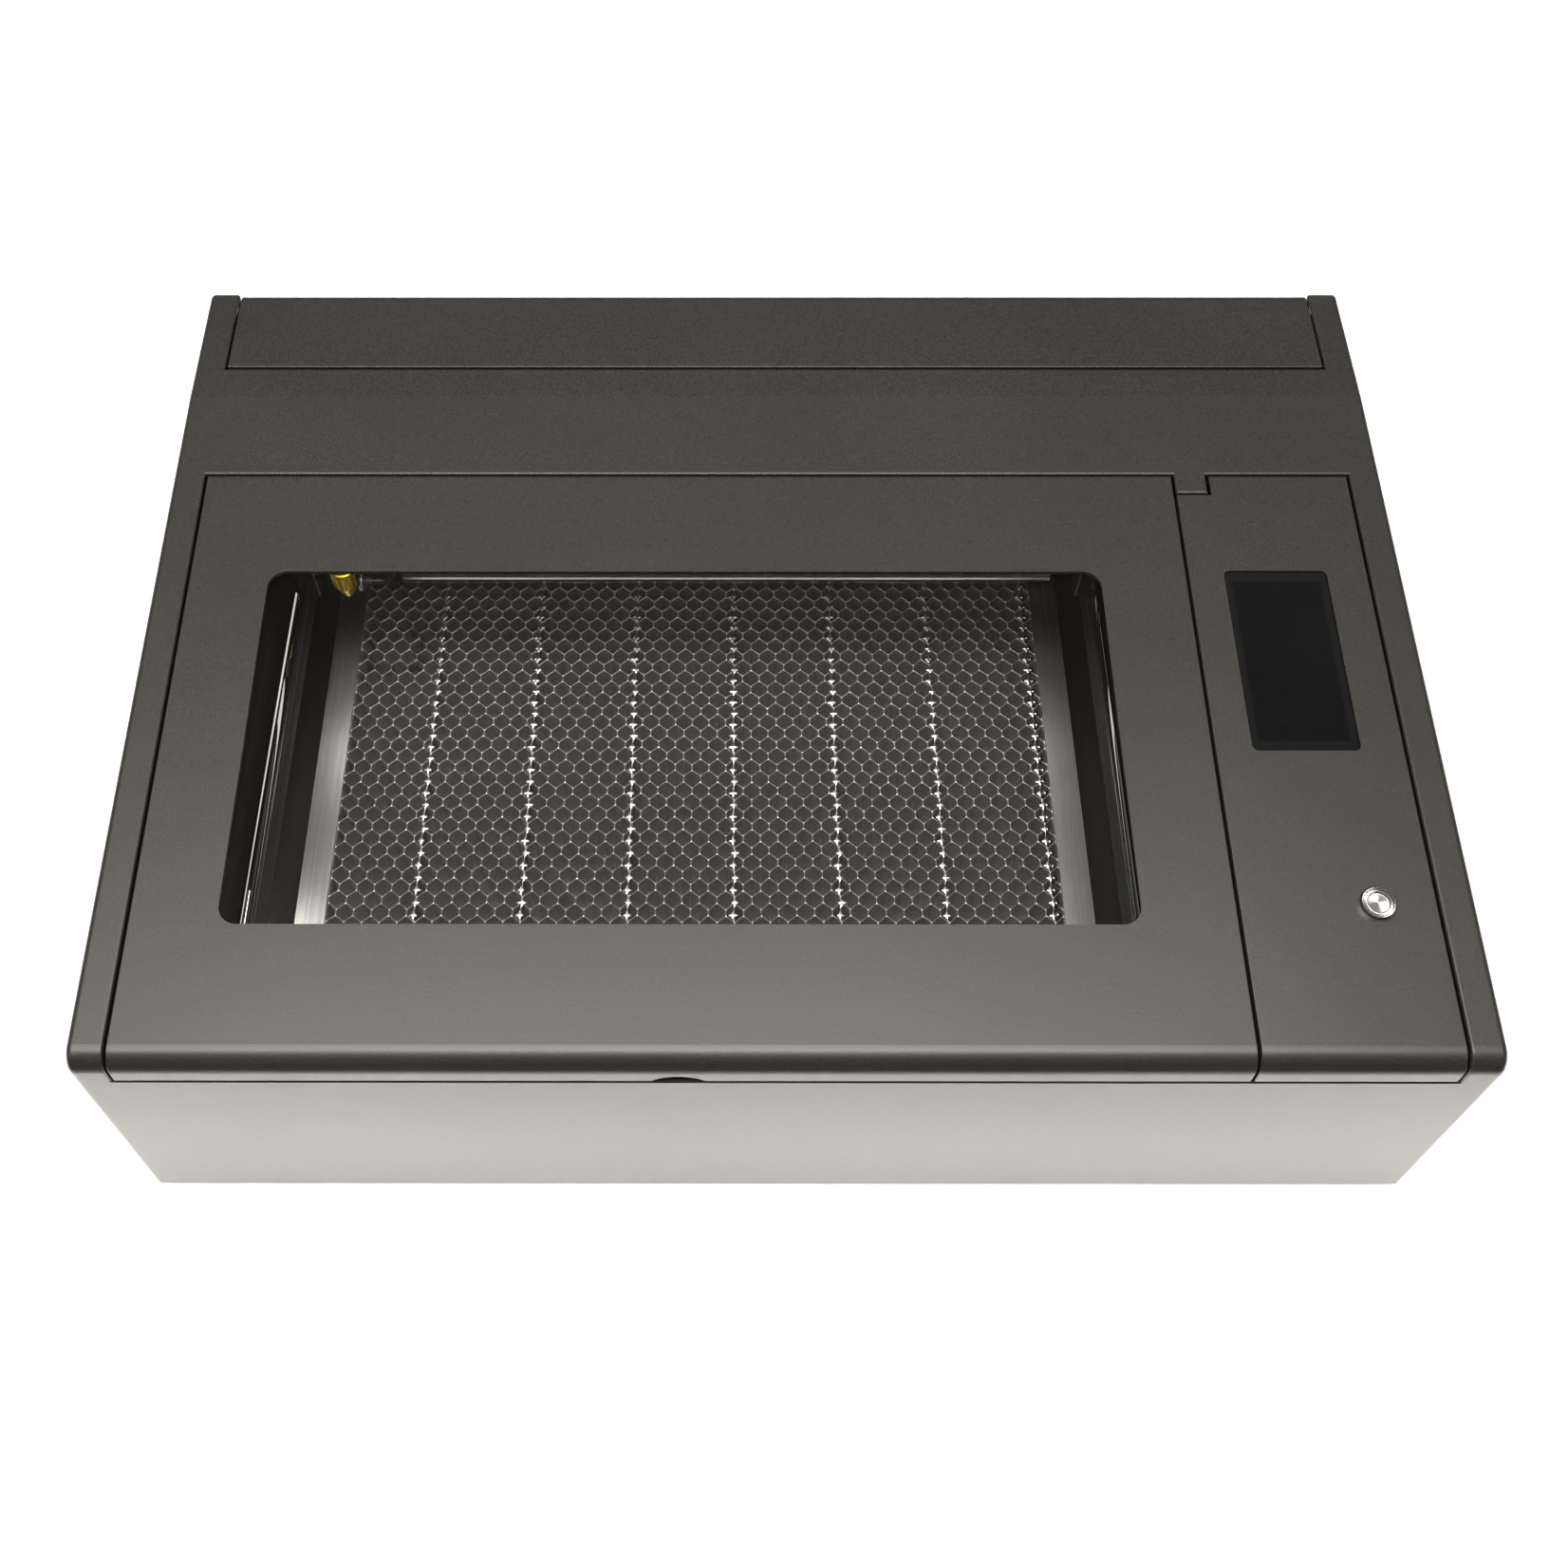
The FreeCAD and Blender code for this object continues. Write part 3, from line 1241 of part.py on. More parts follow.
# ---------------------------------------------------------------- electronics bay
def make_electronics():
    low = case_low_z
    board = box((202, 298), (-190, 30), (68, 69.6))
    posts = [
        rod("Z", x, y, (50, 68), 3) for x in (208, 292) for y in (-184, 4)
    ]
    chips = [
        box((210, 240), (-170, -140), (69.6, 82)), box((250, 280), (-170, -140), (69.6, 82)),
        box((214, 286), (-100, -70), (69.6, 74)), box((220, 280), (-10, 20), (69.6, 84)),
    ]
    node("main_board", group(fuse(board, *chips), *posts))
    pump = rounded_block((206, 296), (32, 88), (low, 60), 10)
    outlet = rod("Y", 250, 40, (88, 100), 4)
    node("air_pump", fuse(pump, outlet))


def check_document():
    """Stops on a failed feature or on a sub-part whose shape is not a set of sound solids."""
    doc.recompute()
    for made in doc.Objects:
        if {"Invalid", "Error"} & set(made.State):
            raise RuntimeError(f"{made.Name} ({made.Label}) failed: {made.State}")
    for name, made in nodes.items():
        shape = made.Shape
        if shape.isNull() or not shape.isValid() or not shape.Solids:
            raise RuntimeError(f"{name} has no valid solid")


def write_parts():
    os.makedirs("parts", exist_ok=True)
    for name, made in nodes.items():
        made.Shape.exportStep(os.path.join("parts", name + ".step"))
    print(len(nodes), "sub-parts written")


make_outer_case()
make_base()
make_lid()
lid_pins = make_lid_hinges()
make_rim()
make_console()
make_button()
make_chamber()
make_bed()
make_y_axis()
make_gantry()
make_head()
make_optics()
make_rear_units()
make_rear_panel_parts()
cover_pins = make_rear_cover()
node("hinge_brackets", group(*lid_pins, *cover_pins))
make_electronics()
check_document()
write_parts()
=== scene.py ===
"""Looks of the desktop laser cutter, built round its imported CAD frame. Everything is in metres."""

import math
import random

import bmesh
import bpy
from mathutils import Matrix, Vector


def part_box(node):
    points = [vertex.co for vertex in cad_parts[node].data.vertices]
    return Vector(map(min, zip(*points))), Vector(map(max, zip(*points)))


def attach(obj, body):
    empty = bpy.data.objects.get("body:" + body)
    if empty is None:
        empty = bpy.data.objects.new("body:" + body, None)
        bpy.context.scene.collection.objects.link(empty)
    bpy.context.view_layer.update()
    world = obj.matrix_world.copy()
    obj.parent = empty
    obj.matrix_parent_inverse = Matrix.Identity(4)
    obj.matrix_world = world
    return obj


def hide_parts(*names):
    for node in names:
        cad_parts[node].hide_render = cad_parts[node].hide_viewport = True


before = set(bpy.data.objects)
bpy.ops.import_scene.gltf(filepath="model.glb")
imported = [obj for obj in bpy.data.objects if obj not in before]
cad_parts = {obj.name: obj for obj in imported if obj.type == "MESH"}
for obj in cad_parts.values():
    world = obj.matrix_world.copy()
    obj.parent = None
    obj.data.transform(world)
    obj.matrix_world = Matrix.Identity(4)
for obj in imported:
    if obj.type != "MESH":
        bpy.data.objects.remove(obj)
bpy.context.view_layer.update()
MM = 0.001
HEAD_Y = 72 * MM  # middle of the head, from front to back
LUG_FACE = 21.8 * MM  # from the left side of the head to the outer face of its hose lug
HOSE_RADIUS = 2 * MM
WELD = 0.0001 * MM  # vertices nearer than this are one


# ---------------------------------------------------------------- materials
class Paint:
    """A Principled material whose detail comes from the row's own coordinates."""

    def __init__(self, name, **sockets):
        self.material = bpy.data.materials.new(name)
        self.material.use_nodes = True
        self.tree = self.material.node_tree
        self.shader = self.tree.nodes["Principled BSDF"]
        self.set(**sockets)
        self.where = self.add("ShaderNodeTexCoord").outputs["Object"]

    def set(self, **sockets):
        """A uniform value goes on the shader's own socket, and a node's output is linked to it."""
        for key, value in sockets.items():
            name = SOCKETS.get(key, key.replace("_", " ").title())
            self.connect(self.shader.inputs[name], value)

    def connect(self, socket, value):
        if isinstance(value, bpy.types.NodeSocket):
            self.tree.links.new(value, socket)
        else:
            if socket.type == "RGBA" and len(value) == 3:
                value = (*value, 1)
            socket.default_value = value

    def add(self, kind, inputs=(), **settings):
        node = self.tree.nodes.new(kind)
        for key, value in settings.items():
            setattr(node, key, value)
        for key, value in dict(inputs).items():
            self.connect(node.inputs[key], value)
        return node

    def stretched(self, scale, turn=(0, 0, 0)):
        """The point's coordinates, scaled along each axis and turned by angles in radians."""
        inputs = {"Vector": self.where, "Scale": scale, "Rotation": turn}
        return self.add("ShaderNodeMapping", inputs).outputs[0]

    def noise(self, scale, detail=2.0, rough=0.5, where=None):
        inputs = {
            "Vector": where or self.where, "Scale": scale, "Detail": detail, "Roughness": rough,
        }
        return self.add("ShaderNodeTexNoise", inputs).outputs["Fac"]

    def cell_edges(self, scale):
        """Distance to the nearest edge in a pattern of irregular cells."""
        inputs = {"Vector": self.where, "Scale": scale}
        texture = self.add("ShaderNodeTexVoronoi", inputs, feature="DISTANCE_TO_EDGE")
        return texture.outputs["Distance"]

    def remap(self, value, low, high, to_low, to_high):
        inputs = {0: value, 1: low, 2: high, 3: to_low, 4: to_high}
        return self.add("ShaderNodeMapRange", inputs).outputs[0]

    def math(self, operation, a, b=0.0):
        return self.add("ShaderNodeMath", {0: a, 1: b}, operation=operation).outputs[0]

    def mix(self, factor, a, b, blend="MIX"):
        node = self.add("ShaderNodeMix", data_type="RGBA", blend_type=blend)
        for index, value in ((0, factor), (6, a), (7, b)):
            self.connect(node.inputs[index], value)
        return node.outputs[2]

    def axis(self, name):
        """One coordinate of the point, in metres."""
        return self.add("ShaderNodeSeparateXYZ", {0: self.where}).outputs[name]

    def bump(self, height, distance, strength):
        inputs = {"Height": height, "Distance": distance, "Strength": strength}
        return self.add("ShaderNodeBump", inputs).outputs[0]


SOCKETS = {
    "color": "Base Color", "ior": "IOR", "specular": "Specular IOR Level",
    "coat": "Coat Weight", "emission": "Emission Color",
}


def powder_coat(name, dark, light, rough=(0.34, 0.42), grain=1500, depth=0.034):
    """Fine-textured powder coat: orange-peel grain with a few larger specks."""
    p = Paint(name, specular_tint=(1.0, 0.965, 0.92))
    fine = p.noise(grain, 2, 0.6)
    peel = p.noise(grain * 0.42, 1)
    patches = p.noise(9, 3)
    color = p.mix(p.remap(fine, 0.36, 0.64, 0, 1), dark, light)
    cloud = p.remap(patches, 0.3, 0.7, 0.9, 1.08)
    tone = p.add("ShaderNodeCombineColor", {0: cloud, 1: cloud, 2: cloud}).outputs[0]
    p.set(
        color=p.mix(1.0, color, tone, "MULTIPLY"),
        roughness=p.remap(fine, 0.35, 0.65, *rough),
        normal=p.bump(p.math("ADD", fine, peel), depth * MM, 0.7),
    )
    return p.material


def brushed(name, tint, along, rough=(0.22, 0.4), shade=0.2, metallic=1.0):
    """Metal with drawn or brushed streaks along one axis (a vector of 0 and 1)."""
    p = Paint(name, metallic=metallic)
    scale = [60 if on else 2600 for on in along]
    fine = p.noise(1.0, 3, 0.7, p.stretched(scale))
    wide = p.noise(1.0, 2, 0.5, p.stretched([s * 0.16 for s in scale]))
    both = p.math("MULTIPLY", p.math("ADD", fine, wide), 0.5)
    dark = [c * (1 - shade) for c in tint]
    p.set(
        color=p.mix(p.remap(both, 0.35, 0.65, 0, 1), dark, tint),
        roughness=p.remap(both, 0.35, 0.65, rough[1], rough[0]),
        normal=p.bump(both, 0.02 * MM, 0.5),
    )
    return p.material


def moulded(name, tint, rough=(0.4, 0.55), grain=1500, depth=0.02, **extra):
    """Moulded plastic or rubber with a spark-eroded grain."""
    p = Paint(name, **extra)
    fine = p.noise(grain, 3, 0.6)
    broad = p.noise(40, 2)
    p.set(
        color=p.mix(p.remap(broad, 0.3, 0.7, 0, 1), [c * 0.8 for c in tint], tint),
        roughness=p.remap(fine, 0.35, 0.65, *rough),
        normal=p.bump(fine, depth * MM, 0.6),
    )
    return p.material


def cast_tint(name, tint, rough, metallic=1.0, spots=900):
    """Smooth metal with slight staining and fine scratches."""
    p = Paint(name, metallic=metallic)
    stain = p.noise(55, 4, 0.6)
    scratch = p.noise(1.0, 2, 0.5, p.stretched((spots * 3, spots * 0.12, spots)))
    p.set(
        color=p.mix(p.remap(stain, 0.35, 0.7, 0, 1), tint, [c * 0.78 for c in tint]),
        roughness=p.math("ADD", p.remap(scratch, 0.3, 0.7, -0.05, 0.05),
                         p.remap(stain, 0.3, 0.7, rough[0], rough[1])),
        normal=p.bump(scratch, 0.006 * MM, 0.5),
    )
    return p.material


def bed_bar_look():
    """Extruded bars: side bars drawn along Y, front and rear bars along X."""
    p = Paint("bed_bar", metallic=1.0)
    low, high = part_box("honeycomb_core")
    along_y = p.noise(1.0, 3, 0.7, p.stretched((2600, 12, 2600)))
    along_x = p.noise(1.0, 3, 0.7, p.stretched((45, 2600, 2600)))
    wide_y = p.noise(1.0, 2, 0.5, p.stretched((420, 2.2, 420)))
    off_centre = p.math("ABSOLUTE", p.math("SUBTRACT", p.axis(0), (low.x + high.x) / 2))
    side = p.math("GREATER_THAN", off_centre, (high.x - low.x) / 2 + 0.1 * MM)
    streak = p.mix(side, along_x, p.mix(0.6, along_y, wide_y))
    smudge = p.noise(26, 4, 0.6)
    base = p.mix(p.remap(streak, 0.36, 0.64, 0, 1), (0.38, 0.372, 0.36), (0.74, 0.73, 0.705))
    dull = p.remap(smudge, 0.45, 0.75, 0, 0.45)
    p.set(
        color=p.mix(dull, base, (0.42, 0.41, 0.39)),
        roughness=p.remap(streak, 0.3, 0.7, 0.4, 0.27),
        normal=p.bump(streak, 0.02 * MM, 0.5),
    )
    return p.material


SCORCH_FROM_LEFT = 18 * MM  # centre of the burnt ring, from the left side of the core
SCORCH_FROM_REAR = 44.5 * MM
SCORCH_RADIUS = 15 * MM


def honeycomb_look(name, light, dark, rough, scorched=True):
    """Aluminium foil, dulled by smoke, with painted shade that darkens it below its rim.

    If scorched, it has a ring burnt by a test cut near the rear left.
    """
    p = Paint(name, metallic=1.0)
    low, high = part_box("honeycomb_core")
    dull = p.noise(38, 4, 0.6)
    crease = p.noise(700, 2, 0.6)
    color = p.mix(p.remap(dull, 0.35, 0.68, 0, 1), light, dark)
    color = p.mix(p.remap(crease, 0.3, 0.7, 0, 0.45), color, [c * 0.55 for c in dark])
    # Painted shade: the foil's colour darkens with depth below the rim, in place of the shade inside
    # the cells.
    below_rim = p.math("SUBTRACT", high.z, p.axis(2))
    painted_cell_shade = p.remap(below_rim, 0.28 * MM, 1.1 * MM, 0.0, 1.0)
    color = p.mix(painted_cell_shade, color, [c * 0.62 for c in dark])
    if scorched:
        across = p.math("SUBTRACT", p.axis(0), low.x + SCORCH_FROM_LEFT)
        back = p.math("SUBTRACT", p.axis(1), high.y - SCORCH_FROM_REAR)
        reach = p.math("SQRT", p.math("ADD", p.math("MULTIPLY", across, across),
                                      p.math("MULTIPLY", back, back)))
        wander = p.remap(p.noise(95, 2), 0.3, 0.7, -3.5 * MM, 3.5 * MM)
        off = p.math("ABSOLUTE", p.math("SUBTRACT", p.math("ADD", reach, wander), SCORCH_RADIUS))
        ring = p.remap(off, 0.4 * MM, 2.4 * MM, 0.55, 0.0)
        patchy = p.math("MULTIPLY", ring, p.remap(p.noise(160, 2), 0.32, 0.5, 0.15, 1))
        color = p.mix(patchy, color, (0.13, 0.082, 0.034))
    p.set(
        color=color,
        roughness=p.remap(crease, 0.3, 0.7, *rough),
        normal=p.bump(crease, 0.012 * MM, 0.4),
    )
    return p.material


def pane_look():
    """Brown-grey tinted acrylic with a polished face and a few hairline scratches."""
    p = Paint("tinted_pane", color=(0.012, 0.011, 0.0095), alpha=0.12, ior=1.49)
    smear = p.noise(14, 3)
    hair = p.noise(1.0, 1, 0.5, p.stretched((900, 30, 900), (0, 0, 0.5)))
    p.set(
        roughness=p.remap(smear, 0.35, 0.7, 0.02, 0.06),
        normal=p.bump(hair, 0.0015 * MM, 0.25),
    )
    return p.material


def screen_look():
    """Black cover glass: the display behind it is a shade darker than its printed border."""
    p = Paint("screen_glass", ior=1.46)
    low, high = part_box("touch_screen")
    border = 3.4 * MM
    inside = None
    for axis, edge in ((0, border), (1, border * 1.6)):
        middle, half = (low[axis] + high[axis]) / 2, (high[axis] - low[axis]) / 2 - edge
        off = p.math("ABSOLUTE", p.math("SUBTRACT", p.axis(axis), middle))
        within = p.math("LESS_THAN", off, half)
        inside = within if inside is None else p.math("MULTIPLY", inside, within)
    dust = p.remap(p.noise(2600, 1), 0.66, 0.74, 0, 0.35)
    glass = p.mix(inside, (0.0042, 0.004, 0.0042), (0.0016, 0.0016, 0.0018))
    smear = p.noise(22, 3)
    p.set(
        color=p.mix(dust, glass, (0.03, 0.03, 0.03)),
        roughness=p.remap(smear, 0.3, 0.75, 0.05, 0.14),
    )
    return p.material


def turned_steel(name, tint, rough, ring_scale=4200):
    """Stainless steel turned in a lathe: it shines along two radial fans."""
    p = Paint(name, metallic=1.0, anisotropic=0.85)
    tangent = p.add("ShaderNodeTangent", direction_type="RADIAL", axis="Z")
    ring = p.noise(ring_scale, 2, 0.6)
    p.set(
        color=p.mix(p.remap(ring, 0.35, 0.65, 0, 1), [c * 0.85 for c in tint], tint),
        roughness=p.remap(ring, 0.3, 0.7, *rough),
        tangent=tangent.outputs[0],
    )
    return p.material


def ground_rod_look():
    """Hard rod, ground smooth, with a thin film of oil that pools here and there. Its tint is
    painted far darker than bare steel, as shade, so the rod's body mirrors little round its
    highlight.
    """
    p = Paint("ground_rod", metallic=1.0)
    film = p.noise(1.0, 2, 0.5, p.stretched((30, 9, 30)))
    p.set(
        color=p.mix(p.remap(film, 0.35, 0.7, 0, 1), (0.18, 0.18, 0.184), (0.14, 0.138, 0.135)),
        roughness=p.remap(film, 0.3, 0.7, 0.04, 0.07),
    )
    return p.material


def drawn_glass_look():
    """Drawn borosilicate tube with faint streaks along its length."""
    p = Paint("drawn_glass", alpha=0.55, ior=1.47)
    streak = p.noise(1.0, 3, 0.5, p.stretched((3, 120, 120)))
    even = p.remap(streak, 0.3, 0.7, 0, 1)
    p.set(
        color=p.mix(even, (0.36, 0.42, 0.43), (0.44, 0.48, 0.49)),
        roughness=p.remap(streak, 0.3, 0.7, 0.06, 0.12),
        normal=p.bump(streak, 0.004 * MM, 0.25),
    )
    return p.material


def circuit_look():
    """Green solder mask with darker traces under it."""
    p = Paint("circuit_board", coat=0.4, coat_roughness=0.15)
    lines = p.remap(p.cell_edges(230), 0.02, 0.05, 1, 0)
    p.set(
        color=p.mix(lines, (0.012, 0.085, 0.035), (0.03, 0.16, 0.06)),
        roughness=p.remap(p.noise(900), 0.3, 0.7, 0.3, 0.45),
        normal=p.bump(lines, 0.03 * MM, 0.5),
    )
    return p.material


case_paint = powder_coat("case_paint", (0.011, 0.0104, 0.0097), (0.024, 0.0228, 0.0213))
inner_paint = powder_coat("inner_paint", (0.0035, 0.0034, 0.0032), (0.0075, 0.0072, 0.0068),
                          rough=(0.42, 0.6))
zinc = cast_tint("zinc_plate", (0.52, 0.52, 0.5), (0.28, 0.42))
galvanised = cast_tint("galvanised_sheet", (0.42, 0.425, 0.42), (0.3, 0.48), spots=300)
plate_look = cast_tint("bed_plate_zinc", (0.54, 0.534, 0.52), (0.4, 0.55), metallic=0.3)
beam_metal = brushed("beam_aluminium", (0.36, 0.355, 0.345), (1, 0, 0), rough=(0.42, 0.56))
stainless_ring = turned_steel("stainless_ring", (0.80, 0.79, 0.77), (0.16, 0.26))
stainless_cap = turned_steel("stainless_cap", (0.78, 0.77, 0.75), (0.24, 0.34))
rod_steel = ground_rod_look()
bar_metal = bed_bar_look()
black_metal = brushed("black_anodised", (0.03, 0.03, 0.032), (1, 0, 0), rough=(0.34, 0.5),
                      shade=0.35, metallic=0.6)
brass = cast_tint("turned_brass", (1.0, 0.7, 0.09), (0.3, 0.42), spots=2400)
bright_aluminium = brushed("bright_aluminium", (0.6, 0.6, 0.6), (0, 1, 0))
black_plastic = moulded("black_plastic", (0.018, 0.018, 0.018))
gloss_plastic = moulded("gloss_plastic", (0.012, 0.012, 0.013), rough=(0.1, 0.18), depth=0.004)
foot_rubber = moulded("foot_rubber", (0.02, 0.02, 0.02), rough=(0.7, 0.85), grain=900, depth=0.06)
belt_rubber = moulded("belt_rubber", (0.014, 0.014, 0.014), rough=(0.6, 0.75), grain=2000)
hose_rubber = moulded("hose_rubber", (0.012, 0.012, 0.012), rough=(0.3, 0.42), depth=0.006)
silicone = moulded("silicone_hose", (0.42, 0.44, 0.44), rough=(0.25, 0.35), depth=0.006,
                   subsurface_weight=0.3)
tank_plastic = moulded("tank_plastic", (0.62, 0.66, 0.68), rough=(0.35, 0.5), depth=0.03,
                       subsurface_weight=0.25)
tube_glass = drawn_glass_look()
lens_look = moulded("zinc_selenide", (0.85, 0.38, 0.05), rough=(0.03, 0.06), depth=0.001)
nickel = cast_tint("nickel_plate", (0.86, 0.84, 0.81), (0.32, 0.44), spots=1800)
LOOKS = {
    case_paint: ["side_panels", "end_panels", "top_deck", "base_pan", "console_panel",
                 "lid_frame", "rear_cover"],
    inner_paint: ["window_retainer", "lid_hinge_arms", "lid_rim", "chamber_floor",
                  "chamber_walls", "rear_partition"],
    galvanised: ["power_supplies"],
    plate_look: ["bed_plate"],
    stainless_ring: ["button_bezel"],
    stainless_cap: ["power_button"],
    zinc: ["case_screws", "hinge_brackets", "y_drive_shaft", "io_ports", "focus_knob"],
    rod_steel: ["y_rails", "x_rail"],
    bar_metal: ["bed_frame"],
    beam_metal: ["x_beam"],
    black_metal: ["rail_supports", "y_trucks", "gantry_mirror", "x_carriage", "head_body",
                  "fixed_mirror"],
    brass: ["focus_barrel"],
    bright_aluminium: ["y_idlers", "x_drive_pulley", "x_idler_pulley"],
    black_plastic: ["screen_module", "lid_camera", "y_motor", "x_motor", "tube_saddles",
                    "exhaust_duct", "exhaust_fan_frame", "exhaust_fan_rotor",
                    "power_inlet", "air_pump"],
    gloss_plastic: ["rocker_switch"],
    foot_rubber: ["rubber_feet", "lid_bumpers"],
    belt_rubber: ["y_belts", "x_belt"],
    hose_rubber: ["air_hose"],
    silicone: ["coolant_hoses"],
    tank_plastic: ["water_tank"],
    tube_glass: ["laser_tube"],
    lens_look: ["focus_lens"],
    pane_look(): ["lid_window"],
    screen_look(): ["touch_screen"],
    circuit_look(): ["main_board"],
}
for look, names in LOOKS.items():
    for name in names:
        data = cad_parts[name].data
        data.materials.clear()
        data.materials.append(look)


# ---------------------------------------------------------------- mesh helpers
def finish_mesh(name, mesh_maker, look, body, smooth=None):
    """A new piece from a function that fills a bmesh. smooth is an angle in degrees."""
    bm = bmesh.new()
    mesh_maker(bm)
    bmesh.ops.remove_doubles(bm, verts=bm.verts, dist=WELD)
    bmesh.ops.recalc_face_normals(bm, faces=bm.faces)
    data = bpy.data.meshes.new(name)
    bm.to_mesh(data)
    bm.free()
    if smooth is not None:
        data.shade_smooth()
        data.set_sharp_from_angle(angle=math.radians(smooth))
    piece = link(name, data)
    data.materials.append(look)
    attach(piece, body)
    return piece


def box_mesh(bm, low, high):
    """A closed box between two corners."""
    made = bmesh.ops.create_cube(bm, size=1)["verts"]
    size = [b - a for a, b in zip(low, high)]
    middle = [(a + b) / 2 for a, b in zip(low, high)]
    bmesh.ops.scale(bm, vec=size, verts=made)
    bmesh.ops.translate(bm, vec=middle, verts=made)


def link(name, data):
    """A new object in the scene."""
    made = bpy.data.objects.new(name, data)
    bpy.context.scene.collection.objects.link(made)
    return made


# ---------------------------------------------------------------- honeycomb bed
CELL_X = 9.03 * MM
CELL_Y = 7.26 * MM  # from one row of cells to the next
ZIGZAG = CELL_Y * 0.52  # height of the zigzag between two rows
HALF_WALL = 0.15 * MM
CORNER = 0.72 * MM  # how far from the corner of a hole its rounding begins
RIM_DIP = 0.16 * MM  # how far a hole's edge lies under the crest of the foil
FIRST_SEAM = 44.6 * MM  # from the left side of the core
FIRST_KNOT = 1.9 * MM  # from the front of the core
SEAM_STEP = 6  # cells between two splices


def rounded_hole(ring):
    """Three points for each corner of a cell, for a hole inset by half a wall and rounded."""
    count = len(ring)
    hole = []
    for i, point in enumerate(ring):
        back = (ring[i - 1] - point).normalized()
        ahead = (ring[(i + 1) % count] - point).normalized()
        inward = (back + ahead).normalized()
        sine = max(abs(back.cross(inward).z), 0.35)
        inner = point + inward * (HALF_WALL / sine)
        first, last = inner + back * CORNER, inner + ahead * CORNER
        hole.append((first, (first + last + inner * 2) / 4, last))
    return hole


def honeycomb():
    """Open cells with thin walls, a little uneven as expanded foil is."""
    low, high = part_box("honeycomb_core")
    rng = random.Random(11)
    half = CELL_X / 2
    columns = round((high.x - low.x) / half)
    rows = math.ceil((high.y - low.y) / CELL_Y) + 1
    corners = {}

    def corner(k, j, upper):
        """Corner on zigzag line j at half-column k."""
        key = (k, j)
        if key not in corners:
            x = low.x + k * half
            y = low.y + j * CELL_Y + (ZIGZAG / 2 if upper else -ZIGZAG / 2)
            drift = 0.18 * MM * math.sin(x * 43 + y * 19) + 0.14 * MM * math.sin(x * 17 - y * 61)
            x += drift + rng.gauss(0, 0.07 * MM)
            y += 0.3 * MM * math.sin(x * 71) + rng.gauss(0, 0.09 * MM)
            corners[key] = Vector((
                min(max(x, low.x), high.x), min(max(y, low.y), high.y), 0,
            ))
        return corners[key]

    def fill(bm):
        shared = {}

        def vert(key, x, y, z):
            if key not in shared:
                shared[key] = bm.verts.new((x, y, z))
            return shared[key]

        for j in range(-1, rows):
            for i in range(-1, columns // 2 + 2):
                middle = 2 * i + (j % 2)
                keys = [
                    (middle - 1, j), (middle, j), (middle + 1, j),
                    (middle + 1, j + 1), (middle, j + 1), (middle - 1, j + 1),
                ]
                uppers = (True, False, True, False, True, False)
                ring = [corner(k[0], k[1], up) for k, up in zip(keys, uppers)]
                area = 0.5 * sum(
                    a.x * b.y - b.x * a.y for a, b in zip(ring, ring[1:] + ring[:1])
                )
                if area < CELL_X * CELL_Y * 0.2:
                    continue
                outer_top = [vert(("t", *k), p.x, p.y, high.z) for k, p in zip(keys, ring)]
                outer_low = [vert(("b", *k), p.x, p.y, low.z) for k, p in zip(keys, ring)]
                lean = Vector((rng.gauss(0, 0.18 * MM), rng.gauss(0, 0.18 * MM), 0))
                hole = rounded_hole(ring)
                rims = [
                    [[bm.verts.new((p.x + shift.x, p.y + shift.y, z)) for p in trio]
                     for trio in hole]
                    for z, shift in ((high.z - RIM_DIP, Vector()), (low.z, lean))
                ]
                for a in range(6):
                    b = (a + 1) % 6
                    for outer, inner in ((outer_top, rims[0]), (outer_low, rims[1])):
                        bm.faces.new((outer[a], outer[b], inner[b][0], inner[a][2]))
                        bm.faces.new((outer[a], inner[a][1], inner[a][0]))
                        bm.faces.new((outer[a], inner[a][2], inner[a][1]))
                upper, lower = ([v for trio in rim for v in trio] for rim in rims)
                for a in range(18):
                    b = (a + 1) % 18
                    bm.faces.new((upper[a], upper[b], lower[b], lower[a]))
        edges = [e for e in bm.edges if len(e.link_faces) == 1]
        tops = {}
        for (kind, *key), v in list(shared.items()):
            tops.setdefault(tuple(key), {})[kind] = v
        pair = {e["t"]: e["b"] for e in tops.values() if "t" in e and "b" in e}
        for edge in edges:
            a, b = edge.verts
            if a in pair and b in pair:
                bm.faces.new((a, b, pair[b], pair[a]))

    piece = finish_mesh(
        "honeycomb_cells", fill,
        honeycomb_look("honeycomb_foil", (0.88, 0.875, 0.86), (0.74, 0.735, 0.72), (0.52, 0.64)),
        "case",
    )
    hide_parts("honeycomb_core")

    def splices(bm):
        """Bright crimped joints between blocks of cells, with a knot on every row."""
        first = low.x + FIRST_SEAM
        count = int((high.x - first) / (CELL_X * SEAM_STEP)) + 1
        for column in range(count):
            x0 = first + column * CELL_X * SEAM_STEP
            knots = [low.y + FIRST_KNOT + CELL_Y * row for row in range(rows)]
            knots = [(y, 0.35 * MM * (1 if i % 2 else -1) + rng.gauss(0, 0.15 * MM))
                     for i, y in enumerate(knots) if y < high.y - 2 * MM]
            ribbon(bm, x0, low.y + 0.4 * MM, high.y - 0.4 * MM, high.z, knots)
            for y, side in knots:
                crimp(bm, Vector((x0 + side, y, high.z - 0.3 * MM)), rng)

    finish_mesh(
        "honeycomb_splices", splices,
        honeycomb_look("spliced_foil", (0.97, 0.97, 0.96), (0.85, 0.85, 0.84), (0.24, 0.36),
                       scorched=False),
        "case", smooth=50,
    )

